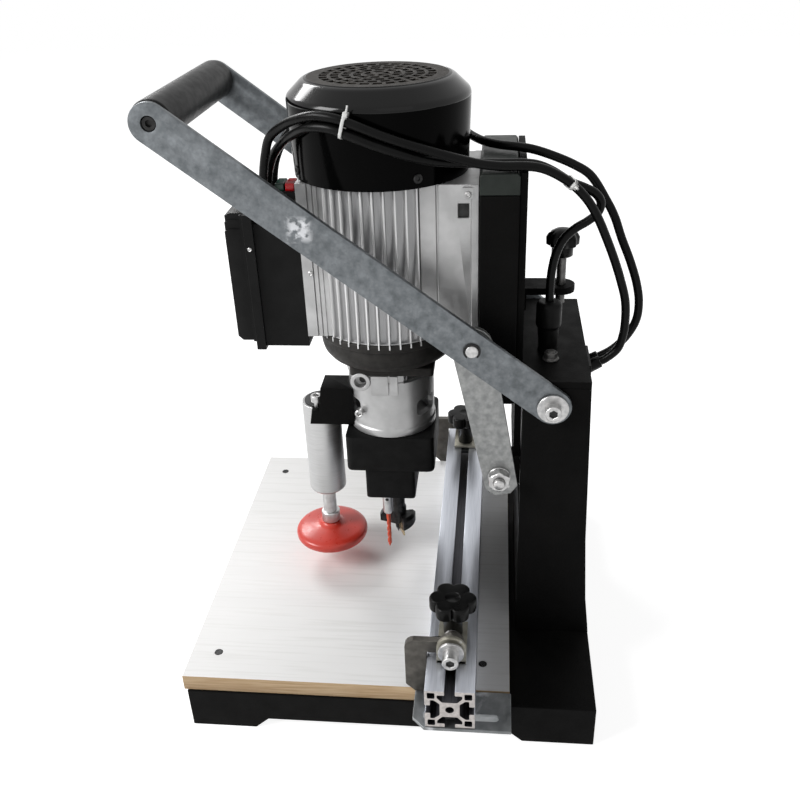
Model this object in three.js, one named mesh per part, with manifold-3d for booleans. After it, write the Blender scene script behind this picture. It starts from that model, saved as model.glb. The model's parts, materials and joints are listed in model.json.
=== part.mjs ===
// A hinge boring machine: a vertical motor head that a long lever pulls down two guide shafts in a
// steel column, over a table with a T-slotted fence and two flip stops.
// Lengths are in millimetres and angles in degrees. +Z is up, +X is the machine's right side and +Y
// points at its column. The origin is on the surface that the machine stands on, under its middle.
import * as THREE from "three";
import { mergeVertices } from "three/addons/utils/BufferGeometryUtils.js";
import Module from "manifold-3d";

const wasm = await Module();
wasm.setup();

// Fits: touching pieces keep a gap, turning and sliding ones a play, and cuts run on by an overrun.
const gap = 0.3;
const play = 0.3;
const overrun = 6;

// How far the parts of one solid run into each other, and the width of its small edges.
const sink = 1;
const edge = 1;

// Facets of a full circle, by how large and how visible it is.
const wide = 32;
const middling = 16;
const slim = 12;
const least = 8;

// The steel base and the laminated table board on it.
const base = {
  halfWidth: 176.4, front: -175, height: 41.5, wall: 5,
  arch: 11, frontFoot: 57.5, rearFoot: 61, slant: 12, footWidth: 52,
};
const table = { inset: 1.4, overhang: 2.5, rearGap: 6, thickness: 15.7 };

// The column: a sheet box whose back flares out towards the base, with a window for the head.
const column = {
  halfWidth: 84, front: 111, depth: 53.7, flare: 12.8, height: 255.2, wall: 3,
  sill: 27.3,
};
const flareHeightShares = [0, 0.036, 0.157, 0.415, 1];
const flareDepthShares = [1, 0.93, 0.65, 0.34, 0];
const lid = { thickness: 5.7 };

// The two guide shafts in the column, their nuts on the lid and the springs that lift the head.
const guide = {
  radius: 10, offset: 44, setBack: 23, studRadius: 3, washerRadius: 7, washer: 1.5,
  nutRadius: 5.8, nut: 5, tip: 1.5,
};
const spring = { inner: 11, wire: 3, turns: 6, seat: 4, steps: 8, sides: 5 };

// The bearing block on the shafts, and the slide plate in front of the column that it carries.
const runner = { halfWidth: 60, depth: 40, height: 84, drop: 24.7 };
const slide = { halfWidth: 58, thickness: 5.4 };
const ear = { play: 2, reach: 27, height: 28, rise: 12, studRise: 11.7 };

// The hollow carriage in front of the slide plate, and its cap.
const carriage = { halfWidth: 61, depth: 30, height: 176.2, wall: 4, rise: 10 };
const cap = { thickness: 16, chamfer: 2 };

// The motor and gear head on one upright axis, listed from the bottom of the nose to the top.
const head = { axis: -4.5, clearance: 96.5 };
const nose = { halfWidth: 38, front: -28.2, rear: 17.2, height: 31 };
const gearbox = { halfWidth: 40, height: 35.2, floor: 5, pocket: 23, gearRise: 2 };
const housing = {
  radius: 39.5, height: 69, wall: 6, floor: 5, flange: 6, windowHalf: 12.5, windowHeight: 15.4,
  windowRise: 16.3, windowTurns: [60, 120, 240, 300],
};
const bell = { radius: 62, lower: 45, shoulder: 59, height: 31.9, lip: 7, bowl: 9 };
const motor = { radius: 62, root: 57.5, bore: 28, length: 129.7, fins: 44, shield: 7 };
const finShares = [0.1, 0.32, 0.56, 0.68];
const cover = {
  radius: 71.8, bottom: 70, top: 57.3, height: 72, shoulder: 12.6, wall: 2, rounding: 4,
};
const vents = { inner: 10, rows: 4, pitch: 10.6, length: 7, width: 6, spacing: 12 };

// What turns in them.
const shaft = { radius: 8, bottomShare: 0.6, top: 45 };
const rotor = { rise: 24, length: 85 };
const fan = { rise: 16, hub: 16, thickness: 3, blades: 8, bladeHeight: 22, blade: 2.5, tip: 60 };
const coupling = { radius: 14, height: 34, rise: 16 };
const spindle = { radius: 6.5, drop: 41, socketRadius: 5, socketDepth: 20 };
const gears = {
  teeth: 16, offset: 24, setForward: 6, height: 18, addendumShare: 0.7, dedendumShare: 1.1,
  rootShare: 0.32, tipShare: 0.16,
};
const bit = {
  radius: 17.4, hub: 8, drop: 64, height: 14, neck: 3, fluteOffset: 5, point: 3, pointRadius: 2,
  pointTip: 0.4,
};
const drill = { radius: 2.5, holder: 8, holderDrop: 26, drop: 67, shank: 6, tip: 5, tipRadius: 0.3 };

// The motor's foot on the carriage, and the electrics on the other side.
const foot = { halfWidth: 50, front: 42, strip: 6, stripExtra: 1.5, below: 124.7 };
const notch = { front: 58.7, rear: 67, top: 15, height: 11, depth: 4 };
const box = {
  halfWidth: 40, front: -105, rear: -68, rise: 21.2, height: 107, wall: 3, rim: 8,
  rimExtra: 3, rimBelow: 2.5, rimAbove: 8,
};
const pedestal = { halfWidth: 43 };
const boxLid = { thickness: 15.7, below: 9, topAbove: 4, edge: 4 };
const boss = { radius: 5, height: 4, forward: -98.5, places: [24, 8, -14] };
const controls = { halfWidth: 13, front: -93, rear: -73, height: 17.7, pocket: 9 };
const button = { halfWidth: 8.5, depth: 7.6, front: -92, spacing: 8.4, stand: 5.7, sink: 4.6 };

// The hold-down in front of the gear head.
const press = {
  forward: 67, radius: 17.5, drop: 14.4, height: 97.4, chamfer: 3, wall: 5.5, floor: 8,
  chamber: 70, stem: 6.5, piston: 6,
};
const pad = {
  radius: 35.5, sole: 30.5, skirt: 34.5, lift: 25, edge: 1, rim: 3.5, brow: 3, shoulder: 26.5,
  shoulderRise: 7, slope: 15, slopeRise: 9.5, height: 17.5, neck: 9,
};
const collar = { radius: 9, height: 11.7 };
const bracket = {
  left: -5, right: 22, rise: 2.5, ledge: 14.2, height: 37, toe: 7, shelf: 2.5, back: -30,
  screwX: 14, screwRadius: 5, screwHeight: 12, screwShank: 2.5, screwHead: 6,
};

// The lever, its links and their pivots. Both are drawn at rest, with the head all the way up.
const lever = {
  play: 0.5, thickness: 5, halfWidth: 15, length: 369.5, pinReach: 81.1, angle: 37.6,
  setBack: 23.7, belowTop: 20.5,
};
const pivot = {
  radius: 6, washer: 12.5, washerThickness: 2.7, headRadius: 6.5, head: 8, nutRadius: 9, nut: 5,
};
const pin = { radius: 5, past: 2.5, clip: 6.2, clipStand: 0.4, clipThickness: 1, before: 1 };
const grip = { radius: 16, rod: 5.4, recess: 1 };
const link = {
  setIn: 6, thickness: 5, halfWidth: 13.5, top: 16.5, tail: 19, chamfer: 7, pinPlay: 1.6,
};
const stud = { radius: 5, forward: 17.5, washer: 9, washerThickness: 2, nutRadius: 9.6, nut: 8, past: 4 };

// The depth stop behind the slide plate.
const stop = { x: -10, setBack: 32, clearance: 28, radius: 4, length: 59 };
const stopEar = { halfWidth: 12, thickness: 6, rise: 45.5, flange: 3, flangeHeight: 20 };
const stopKnob = {
  radius: 14, over: 7, dome: 14, neck: 9, neckHeight: 9, lobes: 8, lobe: 1.4, cheek: 7,
  browRadius: 12, brow: 9.8, crownRadius: 7, crown: 13,
};

// The boot on the lid and the cable entry in the column's back.
const boot = {
  x: 27, setBack: 21, height: 44.7, radius: 10.5, collar: 22, foot: 8.5, neck: 7.5, footHeight: 4,
  waist: 9, chamfer: 2,
};
const entry = {
  thickness: 3, drop: 35, height: 28, left: 2, right: 42, radius: 6, tipRadius: 5, length: 11,
  tilt: 30, places: [[12, 18.1], [26, 20.2]],
};

// The fence, a 40 mm T-slotted bar on two slotted angle brackets.
const fence = {
  past: 39.6, front: 37, size: 40, boltRise: 13, slot: 4.1, lip: 4.5, channel: 10, depth: 12, floor: 6,
  bore: 3.4, cornerHole: 2.4, cornerInset: 4.6, boltRadius: 3, boltHead: 5.5, boltHeight: 4,
};
const angle = {
  width: 40.3, ahead: 11, length: 80, thickness: 3, drop: 34, boltInset: 12,
  slotAhead: 3, slotLength: 62, slotHalf: 3.4, corner: 10,
};

// The two flip stops on the fence.
const carrier = {
  inset: 76, width: 46, depth: 24, thickness: 3, leg: 4, height: 28, boltInset: 11.5, boltRadius: 4,
  boltHeight: 20, tee: 7, teeHeight: 4.5,
};
const hinge = {
  rise: 15, radius: 4, flange: 6, flangeThickness: 4, spacer: 6.5, spacerLength: 3, washer: 9,
  washerThickness: 2, headRadius: 6.5, head: 11,
};
const flap = { setIn: 12, thickness: 6, reach: 38.5, leg: 18.2, lift: 1, chamfer: 8, eye: 10, crown: 2.5 };
const star = { radius: 17.4, lobe: 2.1, lobes: 6, top: 40, height: 12, hub: 8, seat: 1 };

// Heights and places that follow from the sizes above.
const baseTop = base.height;
const tableBottom = baseTop + gap;
const tableTop = tableBottom + table.thickness;
const columnBottom = baseTop + gap;
const columnTop = columnBottom + column.height;
const columnRearmost = column.front + column.depth + column.flare;
const lidBottom = columnTop + gap;
const lidTop = lidBottom + lid.thickness;
const guideY = column.front + guide.setBack;
const runnerTop = columnTop - runner.drop;
const runnerBottom = runnerTop - runner.height;
const slideRear = column.front - gap;
const slideFront = slideRear - slide.thickness;
const carriageRear = slideFront - gap;
const carriageFront = carriageRear - carriage.depth;
const noseBottom = tableTop + head.clearance;
const gearboxBottom = noseBottom + nose.height;
const gearboxTop = gearboxBottom + gearbox.height;
const housingBottom = gearboxTop + gap;
const housingTop = housingBottom + housing.height;
const bellBottom = housingTop + gap;
const bellTop = bellBottom + bell.height;
const motorBottom = bellTop + gap;
const motorTop = motorBottom + motor.length;
const coverBottom = motorTop + gap;
const coverTop = coverBottom + cover.height;
const capTop = coverBottom + carriage.rise;
const capBottom = capTop - cap.thickness;
const carriageTop = capBottom - gap;
const carriageBottom = carriageTop - carriage.height;
const slideBottom = runnerBottom;
const fenceBottom = tableTop + gap;
const fenceTop = fenceBottom + fence.size;
const fenceMiddle = fence.front + fence.size / 2;
const fenceHalf = base.halfWidth + fence.past;
const fenceBoltX = fenceHalf - angle.boltInset;
const leverInner = column.halfWidth + lever.play;
const linkInner = column.halfWidth - link.setIn;
const earOuter = linkInner - ear.play;
const pivotY = column.front + lever.setBack;
const pivotZ = lidTop - lever.belowTop;
const slant = THREE.MathUtils.degToRad(lever.angle);
const pinY = pivotY - lever.pinReach * Math.cos(slant);
const pinZ = pivotZ + lever.pinReach * Math.sin(slant);
const studY = column.front - stud.forward;
const studZ = slideBottom + ear.rise + ear.studRise;
const boxBottom = bellBottom + box.rise;
const boxTop = boxBottom + box.height;
const pressY = head.axis - press.forward;
const pressBottom = noseBottom - press.drop;
const pressTop = pressBottom + press.height;
const padBottom = tableTop + pad.lift;
const gearRadius = Math.hypot(gears.offset, gears.setForward) / 2;
const gearPitch = (2 * Math.PI) / gears.teeth;

// Turns a closed geometry into a solid with its faces out.
function solid(geometry) {
  const plain = new THREE.BufferGeometry();
  const source = geometry.index ? geometry.toNonIndexed() : geometry;
  plain.setAttribute("position", source.getAttribute("position"));
  const merged = mergeVertices(plain, 1e-4);
  const vertProperties = merged.attributes.position.array;
  const triVerts = new Uint32Array(merged.index.array);
  const made = new wasm.Manifold(new wasm.Mesh({ numProp: 3, vertProperties, triVerts }));
  if (made.volume() > 0) return made;
  for (let i = 0; i < triVerts.length; i += 3) {
    [triVerts[i], triVerts[i + 1]] = [triVerts[i + 1], triVerts[i]];
  }
  return new wasm.Manifold(new wasm.Mesh({ numProp: 3, vertProperties, triVerts }));
}

const joined = (...solids) => solids.reduce((whole, piece) => whole.add(piece));
const without = (whole, ...cuts) => cuts.reduce((rest, piece) => rest.subtract(piece), whole);

// A box between two opposite corners.
function block(x0, x1, y0, y1, z0, z1) {
  const shape = new THREE.BoxGeometry(x1 - x0, y1 - y0, z1 - z0);
  return solid(shape.translate((x0 + x1) / 2, (y0 + y1) / 2, (z0 + z1) / 2));
}

// Round bars along each axis, between two stations.
function postZ(x, y, radius, z0, z1, facets = middling, top = radius) {
  const shape = new THREE.CylinderGeometry(top, radius, z1 - z0, facets).rotateX(Math.PI / 2);
  return solid(shape.translate(x, y, (z0 + z1) / 2));
}
function barX(y, z, radius, x0, x1, facets = middling) {
  const low = Math.min(x0, x1);
  const high = Math.max(x0, x1);
  const shape = new THREE.CylinderGeometry(radius, radius, high - low, facets).rotateZ(Math.PI / 2);
  return solid(shape.translate((low + high) / 2, y, z));
}

// A closed outline of [radius, height] turned about an upright axis.
function turned(outline, x = 0, y = 0, facets = wide) {
  const points = [...outline, outline[0]].map(([r, z]) => new THREE.Vector2(r, z));
  return solid(new THREE.LatheGeometry(points, facets).rotateX(Math.PI / 2).translate(x, y, 0));
}

// An outline drawn in a plane and pushed straight through it.
function outlineShape(points, holes = []) {
  const toVector = ([u, v]) => new THREE.Vector2(u, v);
  const shape = new THREE.Shape(points.map(toVector));
  shape.holes = holes.map((hole) => new THREE.Path(hole.map(toVector)));
  return shape;
}
function pushed(points, depth, holes) {
  return new THREE.ExtrudeGeometry(outlineShape(points, holes), { depth, bevelEnabled: false });
}
function plateZ(points, z0, z1, holes) {
  return solid(pushed(points, z1 - z0, holes).translate(0, 0, z0));
}
function plateX(points, x0, x1, holes) {
  const low = Math.min(x0, x1);
  const shape = pushed(points, Math.abs(x1 - x0), holes);
  const turn = new THREE.Matrix4().makeBasis(
    new THREE.Vector3(0, 1, 0), new THREE.Vector3(0, 0, 1), new THREE.Vector3(1, 0, 0),
  );
  return solid(shape.applyMatrix4(turn).translate(low, 0, 0));
}

// Points of an arc, from one angle to another.
function arc(u, v, radius, from, to, steps) {
  return Array.from({ length: steps + 1 }, (_, i) => {
    const a = THREE.MathUtils.degToRad(from + ((to - from) * i) / steps);
    return [u + radius * Math.cos(a), v + radius * Math.sin(a)];
  });
}
const circle = (u, v, radius, steps) => arc(u, v, radius, 0, 360, steps).slice(0, -1);

// A mesh with its own standard material.
function piece(name, shape, color, roughness, metalness) {
  const made = shape.getMesh();
  const geometry = new THREE.BufferGeometry();
  geometry.setAttribute("position", new THREE.BufferAttribute(made.vertProperties, 3));
  geometry.setIndex(new THREE.BufferAttribute(made.triVerts, 1));
  geometry.computeVertexNormals();
  const mesh = new THREE.Mesh(
    geometry,
    new THREE.MeshStandardMaterial({ color, roughness, metalness, flatShading: true }),
  );
  mesh.name = name;
  return mesh;
}
const blackPaint = (name, shape) => piece(name, shape, 0x161616, 0.62, 0.1);
const blackPlastic = (name, shape) => piece(name, shape, 0x1b1b1d, 0.5, 0);
const steel = (name, shape) => piece(name, shape, 0xb4b6b8, 0.35, 1);
const zinc = (name, shape) => piece(name, shape, 0x8f9698, 0.45, 0.9);
const alloy = (name, shape) => piece(name, shape, 0xc9cbcd, 0.4, 0.9);

// The machine's right and left pieces differ by one sign.
const sides = [["right", 1], ["left", -1]];

// Base and table

function baseFrame() {
  const { halfWidth, front, height, wall, arch, frontFoot, rearFoot, footWidth } = base;
  const rear = columnRearmost;
  const side = [
    [front, 0], [front + frontFoot, 0], [front + frontFoot + base.slant, arch],
    [rear - rearFoot - base.slant, arch], [rear - rearFoot, 0], [rear, 0],
    [rear, height], [front, height],
  ];
  const inner = halfWidth - wall;
  const archHalf = halfWidth - footWidth;
  const hollow = block(-inner, inner, front + wall, rear - wall, wall, height - wall);
  const archCut = block(-archHalf, archHalf, front - overrun, rear + overrun, -overrun, arch);
  const mouth = block(-inner, inner, front + frontFoot, rear - rearFoot, -overrun, height - wall);
  const waist = block(-archHalf, archHalf, front + wall, rear - wall, -overrun, height - wall);
  return blackPaint(
    "base_frame",
    without(plateX(side, -halfWidth, halfWidth), hollow, archCut, mouth, waist),
  );
}

function tableBoard() {
  const half = base.halfWidth - table.inset;
  const front = base.front - table.overhang;
  const rear = column.front - table.rearGap;
  const board = block(-half, half, front, rear, tableBottom, tableTop);
  return piece("table_board", board, 0xe9e7e2, 0.45, 0);
}

// Column

const columnRear = flareHeightShares.map((share, i) => [
  column.front + column.depth + column.flare * flareDepthShares[i],
  columnBottom + column.height * share,
]);

// How far back the column reaches at a height.
function rearAt(z) {
  const above = Math.max(1, columnRear.findIndex(([, level]) => level >= z));
  const [y0, z0] = columnRear[above - 1];
  const [y1, z1] = columnRear[above];
  return y0 + ((y1 - y0) * (z - z0)) / (z1 - z0);
}

function columnShell() {
  const { front, wall, halfWidth, sill } = column;
  const outside = [[front, columnTop], [front, columnBottom], ...columnRear];
  const inside = [
    [front + wall, columnTop + overrun], [front + wall, columnBottom - overrun],
    [columnRear[0][0] - wall, columnBottom - overrun],
    ...columnRear.map(([y, z]) => [y - wall, z]),
    [columnRear.at(-1)[0] - wall, columnTop + overrun],
  ];
  const inner = halfWidth - wall;
  const window = block(
    -earOuter, earOuter, front - overrun, front + overrun,
    runnerBottom - sill, columnTop + overrun,
  );
  const pivotHole = barX(pivotY, pivotZ, pivot.radius + gap, -halfWidth - overrun, halfWidth + overrun);
  return blackPaint(
    "column_shell",
    without(plateX(outside, -halfWidth, halfWidth), plateX(inside, -inner, inner), window, pivotHole),
  );
}

function columnLid() {
  const { halfWidth, front, depth } = column;
  const holes = sides.map(([, side]) =>
    postZ(
      side * guide.offset, guideY, guide.studRadius + play,
      lidBottom - overrun, lidTop + overrun, slim,
    ));
  return blackPaint(
    "column_lid",
    without(block(-halfWidth, halfWidth, front, front + depth, lidBottom, lidTop), ...holes),
  );
}

function guideShaft(side) {
  const x = side * guide.offset;
  const washerTop = lidTop + gap + guide.washer;
  const nutTop = washerTop + guide.nut;
  return joined(
    postZ(x, guideY, guide.radius, baseTop + gap, columnTop),
    postZ(x, guideY, guide.studRadius, columnTop - sink, nutTop + guide.tip, slim),
    postZ(x, guideY, guide.washerRadius, lidTop + gap, washerTop, slim),
    postZ(x, guideY, guide.nutRadius, washerTop, nutTop, 6),
  );
}

// A compression spring round a guide shaft: one unbroken tube with closed turns at both ends.
class Coil extends THREE.Curve {
  constructor(x, y, radius, from, to) {
    super();
    Object.assign(this, { x, y, radius, from, to });
  }
  getPoint(t, target = new THREE.Vector3()) {
    const a = t * spring.turns * 2 * Math.PI;
    const z = this.from + (this.to - this.from) * t;
    return target.set(this.x + this.radius * Math.cos(a), this.y + this.radius * Math.sin(a), z);
  }
}

const springBottom = baseTop + gap;
const springTop = runnerBottom - gap;

function returnSpring(side) {
  const wireHalf = spring.wire / 2;
  const radius = spring.inner + wireHalf;
  const low = springBottom + spring.wire;
  const high = springTop - spring.wire;
  const path = new Coil(side * guide.offset, guideY, radius, low, high);
  const tube = new THREE.ExtrudeGeometry(
    outlineShape(circle(0, 0, wireHalf, spring.sides)),
    { steps: spring.turns * spring.steps, extrudePath: path, bevelEnabled: false },
  );
  const ring = (z0, z1) => turned([
    [spring.inner, z0], [spring.inner + spring.wire, z0],
    [spring.inner + spring.wire, z1], [spring.inner, z1],
  ], side * guide.offset, guideY, slim);
  return joined(
    solid(tube),
    ring(springBottom, springBottom + spring.seat),
    ring(springTop - spring.seat, springTop),
  );
}

function springGap() {
  return (springTop - springBottom - 2 * spring.wire) / spring.turns - spring.wire;
}

// Sliding head: bearing block, slide plate and carriage

function bearingBlock() {
  const { halfWidth, depth } = runner;
  const bores = sides.map(([, side]) =>
    postZ(side * guide.offset, guideY, guide.radius + play, runnerBottom - overrun, runnerTop + overrun));
  const body = block(-halfWidth, halfWidth, column.front, column.front + depth, runnerBottom, runnerTop);
  return alloy("bearing_block", without(body, ...bores));
}

function slidePlate() {
  const earBottom = slideBottom + ear.rise;
  const earTop = earBottom + ear.height;
  const ears = sides.map(([, side]) => {
    const [x0, x1] = [side * carriage.halfWidth, side * earOuter].sort((a, b) => a - b);
    return block(x0, x1, column.front - ear.reach, slideRear, earBottom, earTop);
  });
  const shoulders = block(-earOuter, earOuter, slideFront, slideRear, earBottom, earTop);
  const holes = barX(studY, studZ, stud.radius + gap, -earOuter - overrun, earOuter + overrun, slim);
  return blackPaint(
    "slide_plate",
    without(
      joined(
        block(-slide.halfWidth, slide.halfWidth, slideFront, slideRear, slideBottom, capTop),
        shoulders,
        ...ears,
      ),
      holes,
    ),
  );
}

function carriageBox() {
  const { halfWidth, wall } = carriage;
  const outer = block(-halfWidth, halfWidth, carriageFront, carriageRear, carriageBottom, carriageTop);
  const inner = block(
    wall - halfWidth, halfWidth - wall, carriageFront + wall, carriageRear - wall,
    carriageBottom - overrun, carriageTop + overrun,
  );
  return blackPaint("carriage_box", without(outer, inner));
}

function carriageCap() {
  const { halfWidth } = carriage;
  const { chamfer } = cap;
  const outline = [
    [carriageFront, capBottom], [carriageRear, capBottom],
    [carriageRear, capTop - chamfer], [carriageRear - chamfer, capTop],
    [carriageFront + chamfer, capTop], [carriageFront, capTop - chamfer],
  ];
  return piece("carriage_cap", plateX(outline, -halfWidth, halfWidth), 0x4a4d4d, 0.5, 0.2);
}

function linkStud(side) {
  const start = side * (carriage.halfWidth + sink);
  const washerAt = linkInner + link.thickness + gap;
  const nutAt = washerAt + stud.washerThickness;
  const end = nutAt + stud.nut;
  return joined(
    barX(studY, studZ, stud.radius, start, side * (end + stud.past), slim),
    barX(studY, studZ, stud.washer, side * washerAt, side * nutAt, slim),
    barX(studY, studZ, stud.nutRadius, side * nutAt, side * end, 6),
  );
}

// Motor, from its foot to the fan cover

function onAxis(shape) {
  return shape.translate([0, head.axis, 0]);
}

function motorFoot() {
  const { halfWidth, front, strip, stripExtra, below } = foot;
  const rear = carriageFront - gap;
  const bottom = motorTop - below;
  const trim = postZ(0, head.axis, motor.radius + gap, bottom - overrun, motorTop + overrun, wide);
  const body = joined(
    block(-halfWidth, halfWidth, front, rear, bottom, motorTop),
    block(-halfWidth - stripExtra, halfWidth + stripExtra, rear - strip, rear, bottom, motorTop),
  );
  const recess = block(
    halfWidth - notch.depth, halfWidth + overrun, notch.front, notch.rear,
    motorTop - notch.top - notch.height, motorTop - notch.top,
  );
  return alloy("motor_foot", without(body, trim, recess, onAxis(coverSkirt())));
}

// The room that the cover's skirt takes round the top of the motor.
function coverSkirt() {
  return postZ(0, 0, cover.bottom + gap, coverBottom - gap, coverTop, wide);
}

function motorBody() {
  const rim = Array.from({ length: motor.fins }, (_, fin) => fin).flatMap((fin) =>
    finShares.map((share, i) => {
      const a = ((fin + share) / motor.fins) * 2 * Math.PI;
      const r = i === 0 || i === 3 ? motor.root : motor.radius;
      return [r * Math.cos(a), r * Math.sin(a)];
    }));
  const shieldTop = motorTop + motor.shield;
  const shield = cover.bottom - cover.wall - gap;
  return alloy("motor_body", onAxis(without(
    joined(
      plateZ(rim, motorBottom, motorTop),
      block(
        -pedestal.halfWidth, pedestal.halfWidth, box.rear + gap - head.axis, -pedestal.halfWidth,
        motorBottom, motorTop,
      ),
      postZ(0, 0, shield, coverBottom, shieldTop, wide),
      postZ(0, 0, motor.root, motorTop - motor.shield, shieldTop, wide),
    ),
    postZ(0, 0, motor.bore, motorBottom - overrun, motorTop - motor.shield),
    postZ(0, 0, shaft.radius + play, motorBottom, shieldTop + overrun),
  )));
}

function endBell() {
  const { radius, lower, shoulder, height, lip, bowl } = bell;
  const hole = shaft.radius + play;
  return piece("motor_end_bell", onAxis(turned([
    [hole, bellBottom], [lower, bellBottom], [shoulder, bellTop - lip - bowl], [shoulder, bellTop - lip],
    [radius, bellTop - lip], [radius, bellTop], [hole, bellTop - height + lip + bowl],
  ])), 0x3c3e40, 0.5, 0.6);
}

function fanCover() {
  const { radius, bottom, top, wall, rounding } = cover;
  const shoulder = coverTop - cover.shoulder;
  const shell = turned([
    [bottom, coverBottom], [radius, shoulder - rounding], [radius - edge, shoulder],
    [top + edge, coverTop - edge], [top, coverTop], [0, coverTop], [0, coverTop - wall],
    [top - wall, coverTop - wall], [radius - edge - 2 * wall, shoulder - wall],
    [radius - wall, shoulder - rounding], [bottom - wall, coverBottom],
  ]);
  return piece("fan_cover", onAxis(without(shell, ...ventCuts())), 0x0d0d0e, 0.16, 0);
}

// Rectangular vents in rings about the middle of the cover.
function ventCuts() {
  const cuts = [];
  for (let row = 0; row < vents.rows; row += 1) {
    const inner = vents.inner + row * vents.pitch;
    const count = Math.floor((2 * Math.PI * (inner + vents.length / 2)) / vents.spacing);
    for (let i = 0; i < count; i += 1) {
      const slot = block(
        inner, inner + vents.length, -vents.width / 2, vents.width / 2,
        coverTop - overrun, coverTop + overrun,
      );
      cuts.push(slot.rotate([0, 0, (i * 360) / count]));
    }
  }
  return cuts;
}

// Gear train and tools

// A spur gear's outline, with a tooth at the given angle.
function gearOutline(first) {
  const module = (2 * gearRadius) / gears.teeth;
  const root = gearRadius - module * gears.dedendumShare;
  const tip = gearRadius + module * gears.addendumShare;
  const corners = [
    [root, -gears.rootShare], [tip, -gears.tipShare], [tip, gears.tipShare], [root, gears.rootShare],
  ];
  return Array.from({ length: gears.teeth }, (_, tooth) => tooth).flatMap((tooth) =>
    corners.map(([r, share]) => {
      const a = first + (tooth + share) * gearPitch;
      return [r * Math.cos(a), r * Math.sin(a)];
    }));
}

const gearBottom = gearboxBottom + gearbox.floor + gearbox.gearRise;
const gearTop = gearBottom + gears.height;

// The angle from the cup spindle to a side spindle, and where that side's gear has a tooth.
const lineAngle = (side) => Math.atan2(-gears.setForward, side * gears.offset);
const meshAngle = (side) => 2 * lineAngle(side) - lineAngle(1) + Math.PI - gearPitch / 2;

function gearHead() {
  const tip = gearRadius * (1 + (2 * gears.addendumShare) / gears.teeth) + 2 * play;
  const pocketBottom = gearboxBottom + gearbox.floor;
  const pocketTop = pocketBottom + gearbox.pocket;
  const centres = [[0, 0], ...sides.map(([, side]) => [side * gears.offset, -gears.setForward])];
  const pockets = centres.map(([x, y]) => postZ(x, y, tip, pocketBottom, pocketTop, middling));
  const down = centres.map(([x, y], i) => {
    const r = (i === 0 ? spindle.radius : drill.shank) + play;
    return postZ(x, y, r, noseBottom - overrun, pocketBottom + overrun, slim);
  });
  const up = postZ(0, 0, shaft.radius + play, pocketBottom + overrun, gearboxTop + overrun, slim);
  const body = joined(
    block(
      -gearbox.halfWidth, gearbox.halfWidth, -gearbox.halfWidth, gearbox.halfWidth,
      gearboxBottom, gearboxTop,
    ),
    block(
      -nose.halfWidth, nose.halfWidth, nose.front - head.axis, nose.rear - head.axis,
      noseBottom, gearboxBottom + overrun,
    ),
  );
  return piece("gear_head", onAxis(without(body, ...pockets, ...down, up)), 0x232325, 0.7, 0.2);
}

function bearingHousing() {
  const { radius, wall, floor, flange, windowTurns, windowHalf, windowHeight, windowRise } = housing;
  const inner = radius - wall;
  const shell = without(
    postZ(0, 0, radius, housingBottom, housingTop, wide),
    postZ(0, 0, inner, housingBottom + floor, housingTop - flange, wide),
    postZ(0, 0, shaft.radius + play, housingBottom - overrun, housingTop + overrun),
  );
  const cuts = windowTurns.map((turn) => {
    const low = housingBottom + windowRise;
    const slot = block(0, radius + overrun, -windowHalf, windowHalf, low, low + windowHeight);
    return slot.rotate([0, 0, turn]);
  });
  return alloy("bearing_housing", onAxis(without(shell, ...cuts)));
}

function motorRotor() {
  const bottom = housingBottom + housing.height * shaft.bottomShare;
  const top = coverBottom + shaft.top;
  const coreBottom = motorBottom + rotor.rise;
  return steel("motor_rotor", joined(
    postZ(0, 0, shaft.radius, bottom, top),
    postZ(0, 0, motor.bore - 2 * play, coreBottom, coreBottom + rotor.length),
  ));
}

function coolingFan() {
  const { rise, hub, thickness, blades, bladeHeight, blade, tip } = fan;
  const low = coverBottom + rise;
  const disc = postZ(0, 0, tip, low, low + thickness, wide);
  const boss = postZ(0, 0, hub, low, low + bladeHeight);
  const vanes = Array.from({ length: blades }, (_, i) =>
    block(0, tip, -blade / 2, blade / 2, low, low + bladeHeight).rotate([0, 0, (i * 360) / blades]));
  const bore = postZ(0, 0, shaft.radius + gap, low - overrun, low + bladeHeight + overrun);
  return blackPlastic("cooling_fan", without(joined(disc, boss, ...vanes), bore));
}

function cupSpindle() {
  const bottom = noseBottom - spindle.drop;
  const sleeve = housingBottom + coupling.rise;
  const shaftBottom = housingBottom + housing.height * shaft.bottomShare;
  return steel("cup_spindle", without(
    joined(
      postZ(0, 0, spindle.radius, bottom, sleeve + overrun, middling),
      plateZ(gearOutline(lineAngle(1)), gearBottom, gearTop),
      postZ(0, 0, coupling.radius, sleeve, sleeve + coupling.height),
    ),
    postZ(0, 0, shaft.radius + gap, shaftBottom - gap, sleeve + coupling.height + overrun),
    postZ(0, 0, spindle.socketRadius + gap, bottom - overrun, bottom + spindle.socketDepth, slim),
  ));
}

function cupBit() {
  const { radius, hub, height, neck, fluteOffset, point, pointRadius, pointTip } = bit;
  const bottom = noseBottom - bit.drop;
  const spindleBottom = noseBottom - spindle.drop;
  const disc = postZ(0, 0, radius, bottom, bottom + height, wide);
  const cuts = [1, -1].map((turn) =>
    block(
      fluteOffset, radius + overrun, -radius - overrun, -edge,
      bottom - overrun, bottom + height + overrun,
    ).rotate([0, 0, turn > 0 ? 0 : 180]));
  return piece("cup_bit", joined(
    without(disc, ...cuts),
    postZ(0, 0, hub, bottom + sink, bottom + height + neck, slim),
    postZ(0, 0, spindle.radius, bottom + sink, spindleBottom - gap, slim),
    postZ(0, 0, spindle.socketRadius, bottom + height, spindleBottom + spindle.socketDepth - gap, slim),
    postZ(0, 0, pointTip, bottom - point, bottom + sink, least, pointRadius),
  ), 0x4b4b4d, 0.35, 0.9);
}

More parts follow.
